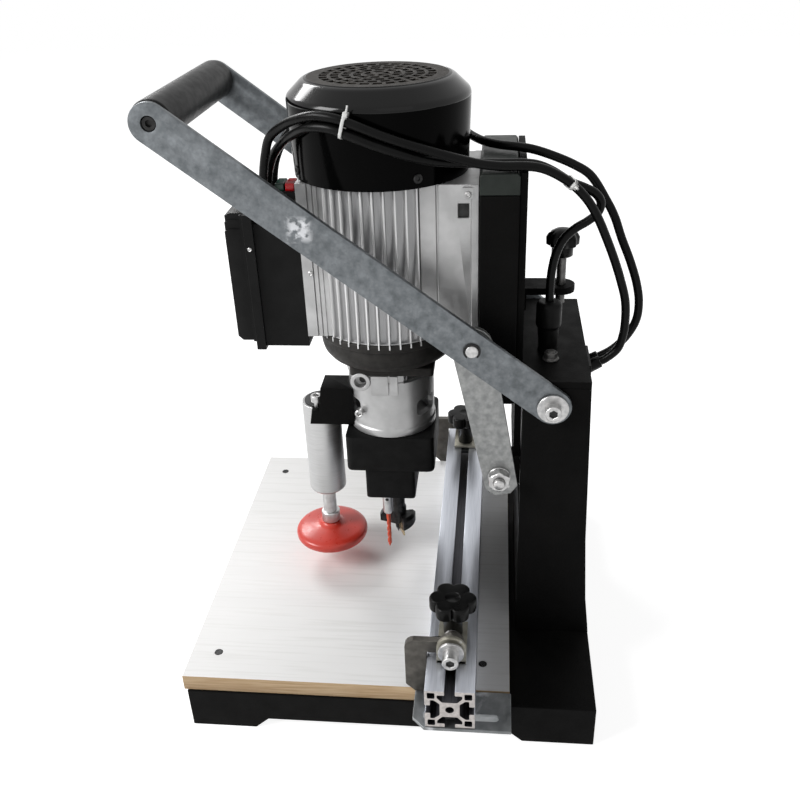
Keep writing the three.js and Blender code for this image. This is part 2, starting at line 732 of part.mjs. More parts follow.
function sideSpindle(side) {
  const low = noseBottom - drill.drop;
  const holderBottom = noseBottom - drill.holderDrop;
  const gear = plateZ(gearOutline(meshAngle(side)), gearBottom, gearTop);
  return joined(
    gear,
    postZ(0, 0, drill.shank, noseBottom - gap - sink, gearBottom + sink, slim),
    postZ(0, 0, drill.holder, holderBottom, noseBottom - gap, slim),
    postZ(0, 0, drill.radius, low + drill.tip, holderBottom + sink, least),
    postZ(0, 0, drill.tipRadius, low, low + drill.tip, least, drill.radius),
  );
}

// Junction box and its switch

function junctionBox() {
  const { halfWidth, front, rear, wall, rim, rimExtra, rimBelow, rimAbove } = box;
  const bottom = boxBottom;
  const rimHalf = halfWidth + rimExtra;
  const bosses = boss.places.map((x) =>
    postZ(x, boss.forward, boss.radius, boxTop - sink, boxTop + boss.height, slim));
  return piece("junction_box", without(
    joined(
      block(-halfWidth, halfWidth, front - sink, rear, bottom, boxTop),
      block(-rimHalf, rimHalf, front - rim, front, bottom - rimBelow, boxTop + rimAbove),
      ...bosses,
    ),
    block(
      wall - halfWidth, halfWidth - wall, front - rim - overrun, rear - wall,
      bottom + wall, boxTop - wall,
    ),
  ), 0x26262a, 0.45, 0);
}

function junctionLid() {
  const { halfWidth, front, rim } = box;
  const rear = front - rim - gap;
  const low = boxBottom + boxLid.below;
  const high = boxTop + boxLid.topAbove;
  const lidFront = rear - boxLid.thickness;
  const outline = [
    [rear, low - boxLid.edge], [rear, high + boxLid.edge], [lidFront + boxLid.edge, high + boxLid.edge],
    [lidFront, high], [lidFront, low], [lidFront + boxLid.edge, low - boxLid.edge],
  ];
  return blackPlastic("junction_lid", plateX(outline, -halfWidth, halfWidth));
}

const buttonFloor = boxTop + gap + controls.height - controls.pocket;

function buttonRoom(place, extra, z0, z1) {
  const y0 = button.front + place * button.spacing;
  return block(
    -button.halfWidth - extra, button.halfWidth + extra,
    y0 - extra, y0 + button.depth + extra, z0, z1,
  );
}

function switchBlock() {
  const { halfWidth, front, rear, height } = controls;
  const bottom = boxTop + gap;
  const pocketTop = bottom + height + overrun;
  const pocket = joined(
    buttonRoom(0, play, buttonFloor, pocketTop),
    buttonRoom(1, play, buttonFloor, pocketTop),
  );
  return blackPlastic("switch_block", without(
    block(-halfWidth, halfWidth, front, rear, bottom, bottom + height),
    pocket,
  ));
}

function buttonCap(place) {
  const rest = buttonFloor + button.sink;
  return buttonRoom(place, 0, rest, boxTop + gap + controls.height + button.stand);
}

// Hold-down

function pressBracket(extra = 0) {
  const { left, right, rise, ledge, height, toe, shelf, back } = bracket;
  const bottom = housingBottom + rise;
  const front = pressY - toe - extra;
  const step = bottom + ledge + extra;
  const top = bottom + height;
  return plateX([
    [front, bottom - extra], [front + shelf, step], [front + shelf + toe, step],
    [front + toe + shelf + shelf, top + extra], [back + extra, top + extra], [back + extra, bottom - extra],
  ], left - extra, right + extra);
}

function pressBracketPiece() {
  const trim = postZ(0, head.axis, housing.radius + gap, housingBottom, housingTop, wide);
  const { ledge, screwX, screwRadius, screwHeight, screwShank, screwHead, toe, shelf } = bracket;
  const ledgeTop = housingBottom + bracket.rise + ledge;
  const screwY = pressY - toe + shelf + toe / 2;
  return blackPaint("press_bracket", joined(
    without(pressBracket(), trim),
    postZ(screwX, screwY, screwShank, ledgeTop - sink, ledgeTop + screwHeight - sink, slim),
    postZ(screwX, screwY, screwRadius, ledgeTop + screwHeight - screwHead, ledgeTop + screwHeight, slim),
  ));
}

function pressCylinder() {
  const { radius, chamfer, wall, floor, chamber, stem } = press;
  const bottom = pressBottom;
  const hole = stem + play;
  const inner = radius - wall;
  const body = turned([
    [hole, bottom], [radius - chamfer, bottom], [radius, bottom + chamfer], [radius, pressTop],
    [0, pressTop], [0, bottom + floor + chamber], [inner, bottom + floor + chamber],
    [inner, bottom + floor], [hole, bottom + floor],
  ], 0, pressY);
  return alloy("press_cylinder", without(body, pressBracket(gap)));
}

function pressStem() {
  const { floor, stem, piston, radius, wall } = press;
  const seat = pressBottom + floor + gap;
  const footing = padBottom + pad.height + gap;
  return steel("press_stem", joined(
    postZ(0, pressY, stem, footing, seat + piston, slim),
    postZ(0, pressY, collar.radius, footing, footing + collar.height, middling),
    postZ(0, pressY, radius - wall - play, seat, seat + piston, middling),
  ));
}

function pressPad() {
  const { radius, sole, skirt, rim, brow, shoulder, shoulderRise, slope, slopeRise, neck } = pad;
  const bottom = padBottom;
  const rimZ = bottom + rim;
  const dome = bottom + pad.height;
  const outline = [
    [0, bottom], [sole, bottom], [skirt, bottom + pad.edge], [radius, rimZ], [skirt, rimZ + brow],
    [shoulder, rimZ + shoulderRise], [slope, rimZ + slopeRise], [neck, dome], [0, dome],
  ];
  return piece("press_pad", turned(outline, 0, pressY), 0xd8402c, 0.4, 0);
}

// Lever and links. The lever's own frame has its pivot at the origin and its arms along -Y.

function leverArm(side) {
  const { thickness, halfWidth, length, pinReach } = lever;
  const outer = leverInner + thickness;
  const bar = [
    ...arc(-length, 0, halfWidth, 90, 270, least),
    ...arc(0, 0, halfWidth, -90, 90, least),
  ];
  const holes = [
    circle(0, 0, pivot.radius + play, slim),
    circle(-length, 0, grip.rod + gap, slim),
  ];
  const pinEnd = outer + pin.past;
  const clipAt = outer + pin.clipStand;
  return joined(
    plateX(bar, side * leverInner, side * outer, holes),
    barX(-pinReach, 0, pin.radius, side * (linkInner - pin.before), side * pinEnd, slim),
    barX(-pinReach, 0, pin.clip, side * clipAt, side * (clipAt + pin.clipThickness), slim),
  );
}

function handleRod() {
  const end = leverInner + lever.thickness - grip.recess;
  return steel("handle_rod", barX(-lever.length, 0, grip.rod, -end, end, slim));
}

function handleGrip() {
  const end = leverInner - gap;
  return blackPlastic("handle_grip", without(
    barX(-lever.length, 0, grip.radius, -end, end, middling),
    barX(-lever.length, 0, grip.rod + gap, -end - overrun, end + overrun, slim),
  ));
}

function pivotBolt(side) {
  const outer = leverInner + lever.thickness + gap;
  const washerEnd = outer + pivot.washerThickness;
  const nutEnd = column.halfWidth - column.wall - gap;
  return joined(
    barX(pivotY, pivotZ, pivot.radius, side * (nutEnd - pivot.nut), side * washerEnd, slim),
    barX(pivotY, pivotZ, pivot.washer, side * outer, side * washerEnd),
    barX(pivotY, pivotZ, pivot.headRadius, side * washerEnd, side * (washerEnd + pivot.head), slim),
    barX(pivotY, pivotZ, pivot.nutRadius, side * (nutEnd - pivot.nut), side * nutEnd, 6),
  );
}

// A link hangs from the lever's pin to the stud. Its own frame has the stud at the origin, +Z to the pin.
const linkLength = Math.hypot(pinY - studY, pinZ - studZ);
const linkTilt = Math.atan2(studY - pinY, pinZ - studZ);

function linkPlate(side) {
  const { thickness, halfWidth, top, tail, chamfer, pinPlay } = link;
  const outline = [
    [chamfer - halfWidth, -tail], [halfWidth - chamfer, -tail], [halfWidth, chamfer - tail],
    ...arc(0, linkLength, top, 0, 180, least),
    [-halfWidth, chamfer - tail],
  ];
  const holes = [
    circle(0, 0, stud.radius + play, slim),
    circle(0, linkLength, pin.radius + pinPlay, slim),
  ];
  return plateX(outline, side * linkInner, side * (linkInner + thickness), holes);
}

// Depth stop

const stopY = column.front + stop.setBack;
const stopBottom = lidTop + stop.clearance;
const stopTop = stopBottom + stop.length;

function depthStopEar() {
  const { halfWidth, thickness, rise, flange, flangeHeight } = stopEar;
  const top = lidTop + rise;
  const low = top - thickness;
  const x0 = stop.x - halfWidth;
  const x1 = stop.x + halfWidth;
  const tongue = [
    [x0, column.front], [x1, column.front],
    ...arc(stop.x, stopY, halfWidth, 0, 180, least),
  ];
  return blackPaint("depth_stop_ear", without(
    joined(
      plateZ(tongue, low, top),
      block(x0, x1, column.front, column.front + flange, top - flangeHeight, top),
    ),
    postZ(stop.x, stopY, stop.radius + play, low - overrun, top + overrun, slim),
  ));
}

function depthStopRod() {
  return steel("depth_stop_rod", postZ(stop.x, stopY, stop.radius, stopBottom, stopTop, slim));
}

function depthStopKnob() {
  const { radius, over, dome, neck, neckHeight, lobes, lobe } = stopKnob;
  const { cheek, browRadius, brow, crownRadius, crown } = stopKnob;
  const top = stopTop + over;
  const low = top - dome;
  const rim = Array.from({ length: lobes * 4 }, (_, i) => {
    const a = (i / (lobes * 4)) * 2 * Math.PI;
    const r = radius - lobe + lobe * Math.cos(a * lobes);
    return [stop.x + r * Math.cos(a), stopY + r * Math.sin(a)];
  });
  const smooth = turned([
    [0, low - neckHeight], [neck, low - neckHeight], [neck, low], [radius, low],
    [radius, low + cheek], [browRadius, low + brow], [crownRadius, low + crown], [0, top],
  ], stop.x, stopY, middling);
  const body = smooth.intersect(joined(
    plateZ(rim, low, top + overrun),
    postZ(stop.x, stopY, neck + sink, low - neckHeight - overrun, low + sink, middling),
  ));
  const bore = postZ(stop.x, stopY, stop.radius + gap, low - neckHeight - overrun, stopTop + gap, slim);
  return blackPlastic("depth_stop_knob", without(body, bore));
}

// Cable boot and entry

function cableBoot() {
  const low = lidTop + gap;
  const top = low + boot.height;
  const { radius, collar: depth, foot: heel, neck, footHeight, waist, chamfer } = boot;
  return blackPlastic("cable_boot", turned([
    [0, low], [heel, low], [neck, low + footHeight], [waist, top - depth],
    [radius, top - depth], [radius, top - chamfer], [radius - chamfer, top], [0, top],
  ], boot.x, column.front + boot.setBack, middling));
}

function cableEntry() {
  const { thickness, drop, height, left, right, radius, tipRadius, length, tilt, places } = entry;
  const bottom = lidTop - drop;
  const top = bottom + height;
  const outline = [
    [rearAt(bottom) + gap, bottom], [rearAt(bottom) + gap + thickness, bottom],
    [rearAt(top) + gap + thickness, top], [rearAt(top) + gap, top],
  ];
  const glands = places.map(([across, up]) => {
    const x = left + across;
    const z = bottom + up;
    const tube = new THREE.CylinderGeometry(tipRadius, radius, length * 2, slim)
      .rotateX(THREE.MathUtils.degToRad(tilt))
      .translate(x, rearAt(z) + gap + thickness / 2, z);
    return solid(tube);
  });
  const wall = plateX(
    [[column.front, bottom - overrun], [rearAt(bottom) + gap, bottom - overrun],
      [rearAt(bottom) + gap, bottom], [rearAt(top) + gap, top],
      [rearAt(top) + gap, top + overrun], [column.front, top + overrun]],
    left - overrun, right + overrun,
  );
  const shape = joined(plateX(outline, left, right), ...glands);
  return blackPlastic("cable_entry", without(shape, wall));
}

// Cables: black leads from the junction box, round the fan cover and back to the column. Each
// route is a list of places chosen by hand.
const cable = { radius: 3.5, sides: 8 };
const cableRoutes = {
  motor_cable_near: {
    steps: 46,
    points: [
      [24, -98.5, 422.3], [24, -98, 438], [25.5, -95.5, 455], [30, -91.5, 470], [37, -85, 485],
      [46, -73, 495], [57, -59, 502.5], [67, -43, 507], [74, -26, 506], [77.2, -9, 500.5],
      [77.2, 6, 494.5], [75, 20, 489], [70.5, 34, 483.5], [65.5, 48, 478], [61.5, 62, 473],
      [59.5, 76, 469.2], [58.5, 92, 467.2], [56.5, 108, 466.6], [54, 118, 464.8], [51, 128, 460.5],
      [46, 144, 449.5], [42, 156, 436.5], [38.5, 165, 421.5], [35, 173, 404], [32, 180.5, 386],
      [30, 187, 368], [28.5, 192.5, 349], [28, 194, 332], [28, 193.3, 318.4], [28, 189.8, 305.4],
      [28, 180.4, 296], [28, 176.8, 293.9],
    ],
  },
  motor_cable_far: {
    steps: 46,
    points: [
      [-14, -98.5, 422.3], [-14.5, -98, 438], [-18, -95, 455], [-27, -88, 470], [-40, -76.5, 481],
      [-54, -60.5, 489], [-66, -42.5, 493], [-74.5, -23, 492.5], [-77.8, -4, 489], [-76, 14, 484],
      [-69.5, 31, 479.5], [-58.5, 46.5, 475], [-44, 58.5, 471.5], [-29, 67.5, 469], [-16, 77, 467.8],
      [-7, 89, 467.1], [0, 104, 466.9], [4, 116, 465.6], [6.5, 132, 460.8], [7.5, 148, 454],
      [8.5, 160, 446.5], [9.5, 173.5, 427], [10, 181, 413.5], [10.5, 187.8, 396], [11, 196.4, 376],
      [12, 203, 357], [13, 206, 341], [13.5, 205, 325], [14, 197.5, 309.5], [14, 187, 298],
      [14, 176.9, 291.6],
    ],
  },
  switch_cable: {
    steps: 46,
    points: [
      [8, -98.5, 422.3], [8.5, -98, 436], [12, -95, 451], [20.5, -87.5, 467.5], [34, -75.5, 481],
      [48, -63.5, 490], [62, -49.5, 497.5], [71.8, -32, 499], [76.8, -14, 493.5], [77.4, 2, 487.4],
      [75.4, 16, 482], [69.5, 30, 476.3], [61, 44, 471.6], [53.5, 58, 468.8], [50.2, 74, 467.4],
      [49.3, 92, 466.9], [47.5, 108, 466.4], [45.5, 118, 464.4], [42.5, 128, 459.5],
      [37, 143, 449], [33, 154, 443.5], [30.5, 163, 438], [29, 167.5, 430.5], [28, 165.5, 422],
      [27.5, 158.5, 415.5], [27, 149.5, 409.5], [27, 141, 401], [27, 135.5, 389],
      [27, 132.8, 375], [27, 132, 362], [27, 132, 348.3],
    ],
  },
};

function cableTube({ points, steps }) {
  const path = new THREE.CatmullRomCurve3(points.map((p) => new THREE.Vector3(...p)), false, "centripetal");
  return solid(new THREE.ExtrudeGeometry(
    outlineShape(circle(0, 0, cable.radius, cable.sides)),
    { steps, extrudePath: path, bevelEnabled: false },
  ));
}

// Fence and its brackets

function fenceBracket(side) {
  const { width, ahead, length, thickness, drop, corner, slotAhead, slotLength, slotHalf } = angle;
  const inner = base.halfWidth + gap;
  const outer = inner + width;
  const front = fence.front - ahead;
  const rear = front + length;
  const slotFront = fence.front - slotAhead;
  const slotRear = slotFront + slotLength;
  const outline = [
    [inner, front], [outer - corner, front], [outer, front + corner], [outer, rear], [inner, rear],
  ];
  const slot = [
    ...arc(fenceBoltX, slotFront + slotHalf, slotHalf, 180, 360, least),
    ...arc(fenceBoltX, slotRear - slotHalf, slotHalf, 0, 180, least),
  ];
  const shape = joined(
    plateZ(outline, tableTop - thickness, tableTop, [slot]),
    block(inner, inner + thickness, front, rear, tableTop - drop, tableTop - thickness / 2),
  );
  return side > 0 ? shape : shape.mirror([1, 0, 0]);
}

function fenceProfile() {
  const { size, slot, lip, channel, depth, floor, bore, cornerHole, cornerInset } = fence;
  const half = size / 2;
  const oneSide = [
    [-half, half], [-slot, half], [-slot, half - lip], [-channel, half - lip],
    [-floor, half - depth], [floor, half - depth], [channel, half - lip],
    [slot, half - lip], [slot, half],
  ];
  const middleZ = fenceBottom + half;
  const placed = ([u, v]) => [fenceMiddle + u, middleZ + v];
  const outline = [0, 1, 2, 3].flatMap((quarter) => oneSide.map(([u, v]) => {
    const turns = [[u, v], [v, -u], [-u, -v], [-v, u]];
    return placed(turns[quarter]);
  }));
  const inset = half - cornerInset;
  const corners = [[inset, inset], [-inset, inset], [-inset, -inset], [inset, -inset]];
  const holes = [
    circle(0, 0, bore, least).map(placed),
    ...corners.map(([u, v]) => circle(u, v, cornerHole, 8).map(placed)),
  ];
  const bolts = sides.flatMap(([, side]) => {
    const x = side * fenceBoltX;
    const under = tableTop - angle.thickness - gap;
    return [
      postZ(x, fenceMiddle, fence.boltRadius, under - sink, fenceBottom + fence.boltRise, least),
      postZ(x, fenceMiddle, fence.boltHead, under - fence.boltHeight, under, 6),
    ];
  });
  return alloy("fence_profile", joined(
    plateX(outline, -fenceHalf, fenceHalf, holes),
    ...bolts,
  ));
}

// Flip stops, drawn for the right side and mirrored for the left

const carrierBottom = fenceTop + gap;
const carrierTop = carrierBottom + carrier.thickness;
const hingeZ = fenceTop + hinge.rise;
const carrierInner = fenceHalf - carrier.inset;
const carrierOuter = carrierInner + carrier.width;
const stopBoltX = carrierInner + carrier.boltInset;
const flapInner = carrierOuter - flap.setIn;
const flapOuter = flapInner + flap.thickness;

function stopCarrier() {
  const { depth, leg, height, boltRadius, boltHeight, tee, teeHeight } = carrier;
  const front = fenceMiddle - depth / 2;
  const rear = fenceMiddle + depth / 2;
  const teeTop = fenceTop - fence.lip - gap;
  const spacerEnd = carrierOuter + hinge.spacerLength;
  const washerEnd = spacerEnd + hinge.washerThickness;
  const along = (radius, x0, x1, facets = slim) => barX(fenceMiddle, hingeZ, radius, x0, x1, facets);
  return joined(
    block(carrierInner, carrierOuter, front, rear, carrierBottom, carrierTop),
    block(carrierOuter - leg, carrierOuter, front, rear, carrierBottom, carrierBottom + height),
    postZ(stopBoltX, fenceMiddle, boltRadius, teeTop - sink, carrierTop + boltHeight, slim),
    block(
      stopBoltX - tee, stopBoltX + tee, fenceMiddle - tee, fenceMiddle + tee,
      teeTop - teeHeight, teeTop,
    ),
    along(hinge.radius, flapInner - gap - sink, spacerEnd),
    along(hinge.flange, flapInner - gap - hinge.flangeThickness, flapInner - gap),
    along(hinge.flange, flapOuter + gap, carrierOuter - leg),
    along(hinge.spacer, carrierOuter, spacerEnd),
    along(hinge.washer, spacerEnd, washerEnd),
    along(hinge.headRadius, washerEnd, washerEnd + hinge.head),
  );
}

// The plate that swings about the hinge bolt: its eye, an arm forward and a leg down to the table.
function stopFlap() {
  const { reach, leg, lift, chamfer, eye, crown } = flap;
  const front = fenceMiddle - reach;
  const low = tableTop + lift;
  const top = hingeZ + crown;
  const outline = [
    [front + chamfer, low], [front + leg, low], [front + leg, hingeZ - eye], [fenceMiddle, hingeZ - eye],
    ...arc(fenceMiddle, hingeZ, eye, -90, 90, least).slice(1),
    [fenceMiddle - eye, top],
    ...arc(front + chamfer, top - chamfer, chamfer, 90, 180, 4),
    [front, low + chamfer],
  ];
  const hole = circle(fenceMiddle, hingeZ, hinge.radius + play, slim);
  return plateX(outline, flapInner, flapOuter, [hole]);
}

function starKnob() {
  const { radius, lobe, lobes, top, height, hub, seat } = star;
  const steps = lobes * 6;
  const outline = Array.from({ length: steps }, (_, i) => {
    const a = (i / steps) * 2 * Math.PI;
    const r = radius - lobe * Math.cos(a * lobes);
    return [stopBoltX + r * Math.cos(a), fenceMiddle + r * Math.sin(a)];
  });
  const high = fenceTop + top;
  const low = carrierTop + gap;
  return without(
    joined(
      plateZ(outline, high - height, high),
      postZ(stopBoltX, fenceMiddle, hub, low, high - height + sink, middling),
    ),
    postZ(
      stopBoltX, fenceMiddle, carrier.boltRadius + play,
      low - overrun, carrierTop + carrier.boltHeight + seat, slim,
    ),
  );
}

// The assembly: fixed frame, sliding head, lever, links, spindles, fence and stops

const machine = new THREE.Group();
const headGroup = new THREE.Group();
const spindleGroup = new THREE.Group();
const leverGroup = new THREE.Group();
const fenceGroup = new THREE.Group();
machine.add(headGroup, leverGroup, fenceGroup);
headGroup.add(spindleGroup);

machine.add(baseFrame(), tableBoard(), columnShell(), columnLid(), cableBoot(), cableEntry());
for (const [word, side] of sides) {
  machine.add(
    steel("guide_shaft_" + word, guideShaft(side)),
    steel("return_spring_" + word, returnSpring(side)),
    steel("lever_pivot_bolt_" + word, pivotBolt(side)),
    zinc("fence_bracket_" + word, fenceBracket(side)),
  );
}

headGroup.add(
  bearingBlock(), slidePlate(), carriageBox(), carriageCap(), motorFoot(), motorBody(), endBell(),
  fanCover(), bearingHousing(), gearHead(), junctionBox(), junctionLid(), switchBlock(),
  piece("green_button", buttonCap(0), 0x1f8a3b, 0.4, 0),
  piece("red_button", buttonCap(1), 0xd2121c, 0.4, 0),
  pressBracketPiece(), pressCylinder(), pressStem(), pressPad(),
  depthStopEar(), depthStopRod(), depthStopKnob(),
);

spindleGroup.position.set(0, head.axis, 0);
spindleGroup.add(motorRotor(), coolingFan(), cupSpindle(), cupBit());

leverGroup.position.set(0, pivotY, pivotZ);
leverGroup.rotation.x = -slant;
leverGroup.add(handleRod(), handleGrip());

for (const [word, side] of sides) {
  headGroup.add(steel("link_stud_" + word, linkStud(side)));
  leverGroup.add(zinc("lever_arm_" + word, leverArm(side)));

  const spindleSide = new THREE.Group();
  spindleSide.position.set(side * gears.offset, -gears.setForward, 0);
  spindleSide.add(steel("side_spindle_" + word, sideSpindle(side)));
  spindleGroup.add(spindleSide);

  const linkGroup = new THREE.Group();
  linkGroup.position.set(0, studY, studZ);
  linkGroup.rotation.x = linkTilt;
  linkGroup.add(zinc("link_plate_" + word, linkPlate(side)));
  headGroup.add(linkGroup);

  const handed = (shape) => (side > 0 ? shape : shape.mirror([1, 0, 0]));
  fenceGroup.add(
    zinc("stop_carrier_" + word, handed(stopCarrier())),
    zinc("stop_flap_" + word, handed(stopFlap())),
    blackPlastic("star_knob_" + word, handed(starKnob())),
  );
}
fenceGroup.add(fenceProfile());

for (const [name, route] of Object.entries(cableRoutes)) {
  machine.add(blackPlastic(name, cableTube(route)));
}

console.log("least gap between the turns of a return spring: " + springGap().toFixed(2) + " mm");

export default machine;
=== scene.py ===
"""Looks of the hinge boring machine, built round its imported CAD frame.

Lengths are in millimetres and angles in degrees, unless a name ends in _M, for metres.
"""
import json
import math
from collections import namedtuple
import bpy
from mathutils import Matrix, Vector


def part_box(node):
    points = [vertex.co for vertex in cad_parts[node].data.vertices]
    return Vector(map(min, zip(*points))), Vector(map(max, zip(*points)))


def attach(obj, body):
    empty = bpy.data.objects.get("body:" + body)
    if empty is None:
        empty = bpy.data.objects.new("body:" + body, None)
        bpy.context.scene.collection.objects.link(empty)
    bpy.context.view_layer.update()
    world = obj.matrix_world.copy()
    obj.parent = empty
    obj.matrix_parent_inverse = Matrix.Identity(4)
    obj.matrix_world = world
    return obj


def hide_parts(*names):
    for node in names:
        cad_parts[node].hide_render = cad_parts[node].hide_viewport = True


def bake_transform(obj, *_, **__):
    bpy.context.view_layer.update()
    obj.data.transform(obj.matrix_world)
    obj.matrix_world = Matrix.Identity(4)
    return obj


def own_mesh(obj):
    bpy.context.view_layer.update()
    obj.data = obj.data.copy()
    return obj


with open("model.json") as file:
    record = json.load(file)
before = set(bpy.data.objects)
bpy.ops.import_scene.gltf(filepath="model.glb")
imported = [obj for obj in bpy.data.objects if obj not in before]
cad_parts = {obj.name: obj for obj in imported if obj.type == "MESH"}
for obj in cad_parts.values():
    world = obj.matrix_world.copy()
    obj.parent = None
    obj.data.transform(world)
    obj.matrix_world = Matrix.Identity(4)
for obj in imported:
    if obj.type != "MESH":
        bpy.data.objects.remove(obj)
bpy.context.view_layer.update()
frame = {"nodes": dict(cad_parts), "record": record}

from types import SimpleNamespace as Sizes

import bmesh
import bpy
from mathutils import Matrix, Vector

MM = 0.001
TAU = 2 * math.pi
WELD_M = 1e-5
ROUND = 96
SMALL = 48

# Angles from which an edge counts as an edge at all, is shaded sharp, and gets rounded
FLAT = 1
SHARP = 32
EDGE = 40

scene = bpy.context.scene
scene.view_settings.view_transform = "Standard"


def in_scene(name, data):
    made = bpy.data.objects.new(name, data)
    scene.collection.objects.link(made)
    return made


# The camera stands where the photograph was taken from.
CAMERA_PLACE_M = (0.7245, 0.0877, 0.6452)
CAMERA_TURN = (60.7708, 2.0786, 95.5598)
CAMERA_LENS = 40.96
CAMERA_SENSOR = 36.0


def make_camera():
    data = bpy.data.cameras.new("camera")
    data.lens = CAMERA_LENS
    data.sensor_width = CAMERA_SENSOR
    camera = in_scene("camera", data)
    camera.location = CAMERA_PLACE_M
    camera.rotation_euler = [math.radians(a) for a in CAMERA_TURN]
    scene.camera = camera


make_camera()


# Shapes


class Box(namedtuple("Box", "x0 y0 z0 x1 y1 z1")):
    """The bounds of a node, and the middles between them."""

    x = property(lambda box: (box.x0 + box.x1) / 2)
    y = property(lambda box: (box.y0 + box.y1) / 2)
    z = property(lambda box: (box.z0 + box.z1) / 2)


def extent(node):
    low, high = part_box(node)
    return Box(*(c / MM for c in (*low, *high)))


def smooth(mesh, angle=SHARP):
    mesh.shade_smooth()
    mesh.set_sharp_from_angle(angle=math.radians(angle))


def tidy(mesh, angle=SHARP):
    bm = bmesh.new()
    bm.from_mesh(mesh)
    bmesh.ops.remove_doubles(bm, verts=bm.verts, dist=WELD_M)
    bmesh.ops.dissolve_degenerate(bm, edges=bm.edges, dist=WELD_M)
    bmesh.ops.recalc_face_normals(bm, faces=bm.faces)
    bm.to_mesh(mesh)
    bm.free()
    smooth(mesh, angle)


def shape(name, points, faces, place=None, angle=SHARP):
    """An object whose mesh is given in millimetres, in the part's own frame."""
    place = place or Matrix.Identity(4)
    mesh = bpy.data.meshes.new(name)
    mesh.from_pydata([tuple((place @ Vector(p)) * MM) for p in points], [], faces)
    tidy(mesh, angle)
    return in_scene(name, mesh)


AXES = {
    "Z": Matrix.Identity(4),
    "-Z": Matrix.Rotation(math.pi, 4, "X"),
    "X": Matrix.Rotation(math.pi / 2, 4, "Y"),
    "-X": Matrix.Rotation(-math.pi / 2, 4, "Y"),
}


def about_z(angle):
    return Matrix.Rotation(math.radians(angle), 4, "Z")


def at(x, y, z, axis="Z", spin=0):
    """The place of a shape that is made along its own +Z, on an axis of the part."""
    return Matrix.Translation((x, y, z)) @ AXES[axis] @ about_z(spin)


def outward(sign, x, y, z, spin=0):
    """A place at the right (1) or the left (-1) that looks away from the middle."""
    return at(sign * x, y, z, "X" if sign > 0 else "-X", spin)


def circular(angle):
    return 1.0


def hexagon(angle):
    sixth = TAU / 6
    return 1 / math.cos(angle % sixth - sixth / 2)


def rounded(outline, radius, closed=False, steps=4):
    """An outline whose corners are cut back by the radius and rounded."""
    made = []
    last = len(outline) - 1
    for i, corner in enumerate(outline):
        if not closed and i in (0, last):
            made.append(tuple(corner))
            continue
        here = Vector(corner)
        to_last = Vector(outline[i - 1]) - here
        to_next = Vector(outline[(i + 1) % len(outline)]) - here
        reach = min(radius, to_last.length / 2, to_next.length / 2)
        start = here + to_last.normalized() * reach
        end = here + to_next.normalized() * reach
        for step in range(steps + 1):
            t = step / steps
            point = start * (1 - t) ** 2 + here * (2 * t * (1 - t)) + end * t**2
            made.append(tuple(point))
    return made


def raised(outline, level):
    """An outline for turned or lathe whose heights are given from that level."""
    return [(ring[0], level + ring[1], *ring[2:]) for ring in outline]


def rod(radius, low, high):
    """The outline of a plain round rod, for turned or lathe."""
    return [(0, low), (radius, low), (radius, high), (0, high)]


def banded(name, rows, count, capped, place, angle=SHARP, closed=False):
    """A mesh of rows of points, each row joined to the next one all round."""
    points = [point for row in rows for point in row]
    faces = []
    for i in range(len(rows) if closed else len(rows) - 1):
        low, high = i * count, (i + 1) % len(rows) * count
        for j in range(count):
            k = (j + 1) % count
            faces.append((low + j, low + k, high + k, high + j))
    if capped:
        faces += [tuple(range(count)), tuple(len(points) - count + j for j in range(count))]
    return shape(name, points, faces, place, angle)


def turned(name, rings, place, segments=ROUND, closed=False, angle=SHARP):
    """A solid turned about its own Z. A ring is a radius, a height and, if not round, a form."""
    rows = []
    for radius, height, *form in rings:
        scale = form[0] if form else circular
        row = []
        for i in range(segments):
            a = TAU * i / segments
            r = radius * scale(a)
            row.append((r * math.cos(a), r * math.sin(a), height))
        rows.append(row)
    return banded(name, rows, segments, False, place, angle, closed)


def lathe(name, outline, place, edge=0.5, segments=ROUND, closed=False, angle=SHARP):
    """A solid turned about its own Z, whose outline's corners are rounded."""
    return turned(name, rounded(outline, edge, closed), place, segments, closed, angle)


def arc(u, v, radius, start, end, steps=24):
    angles = [math.radians(start + (end - start) * i / steps) for i in range(steps + 1)]
    return [(u + radius * math.cos(a), v + radius * math.sin(a)) for a in angles]


def circle(u, v, radius, steps=48):
    return arc(u, v, radius, 0, 360, steps)[:-1]


def rectangle(u0, u1, v0, v1):
    return [(u0, v0), (u1, v0), (u1, v1), (u0, v1)]


def square(u, v, half):
    return rectangle(u - half, u + half, v - half, v + half)


PLANES = {
    "Z": Matrix.Identity(4),
    "X": Matrix(((0, 0, 1, 0), (1, 0, 0, 0), (0, 1, 0, 0), (0, 0, 0, 1))),
    "Y": Matrix(((1, 0, 0, 0), (0, 0, -1, 0), (0, 1, 0, 0), (0, 0, 0, 1))),
}


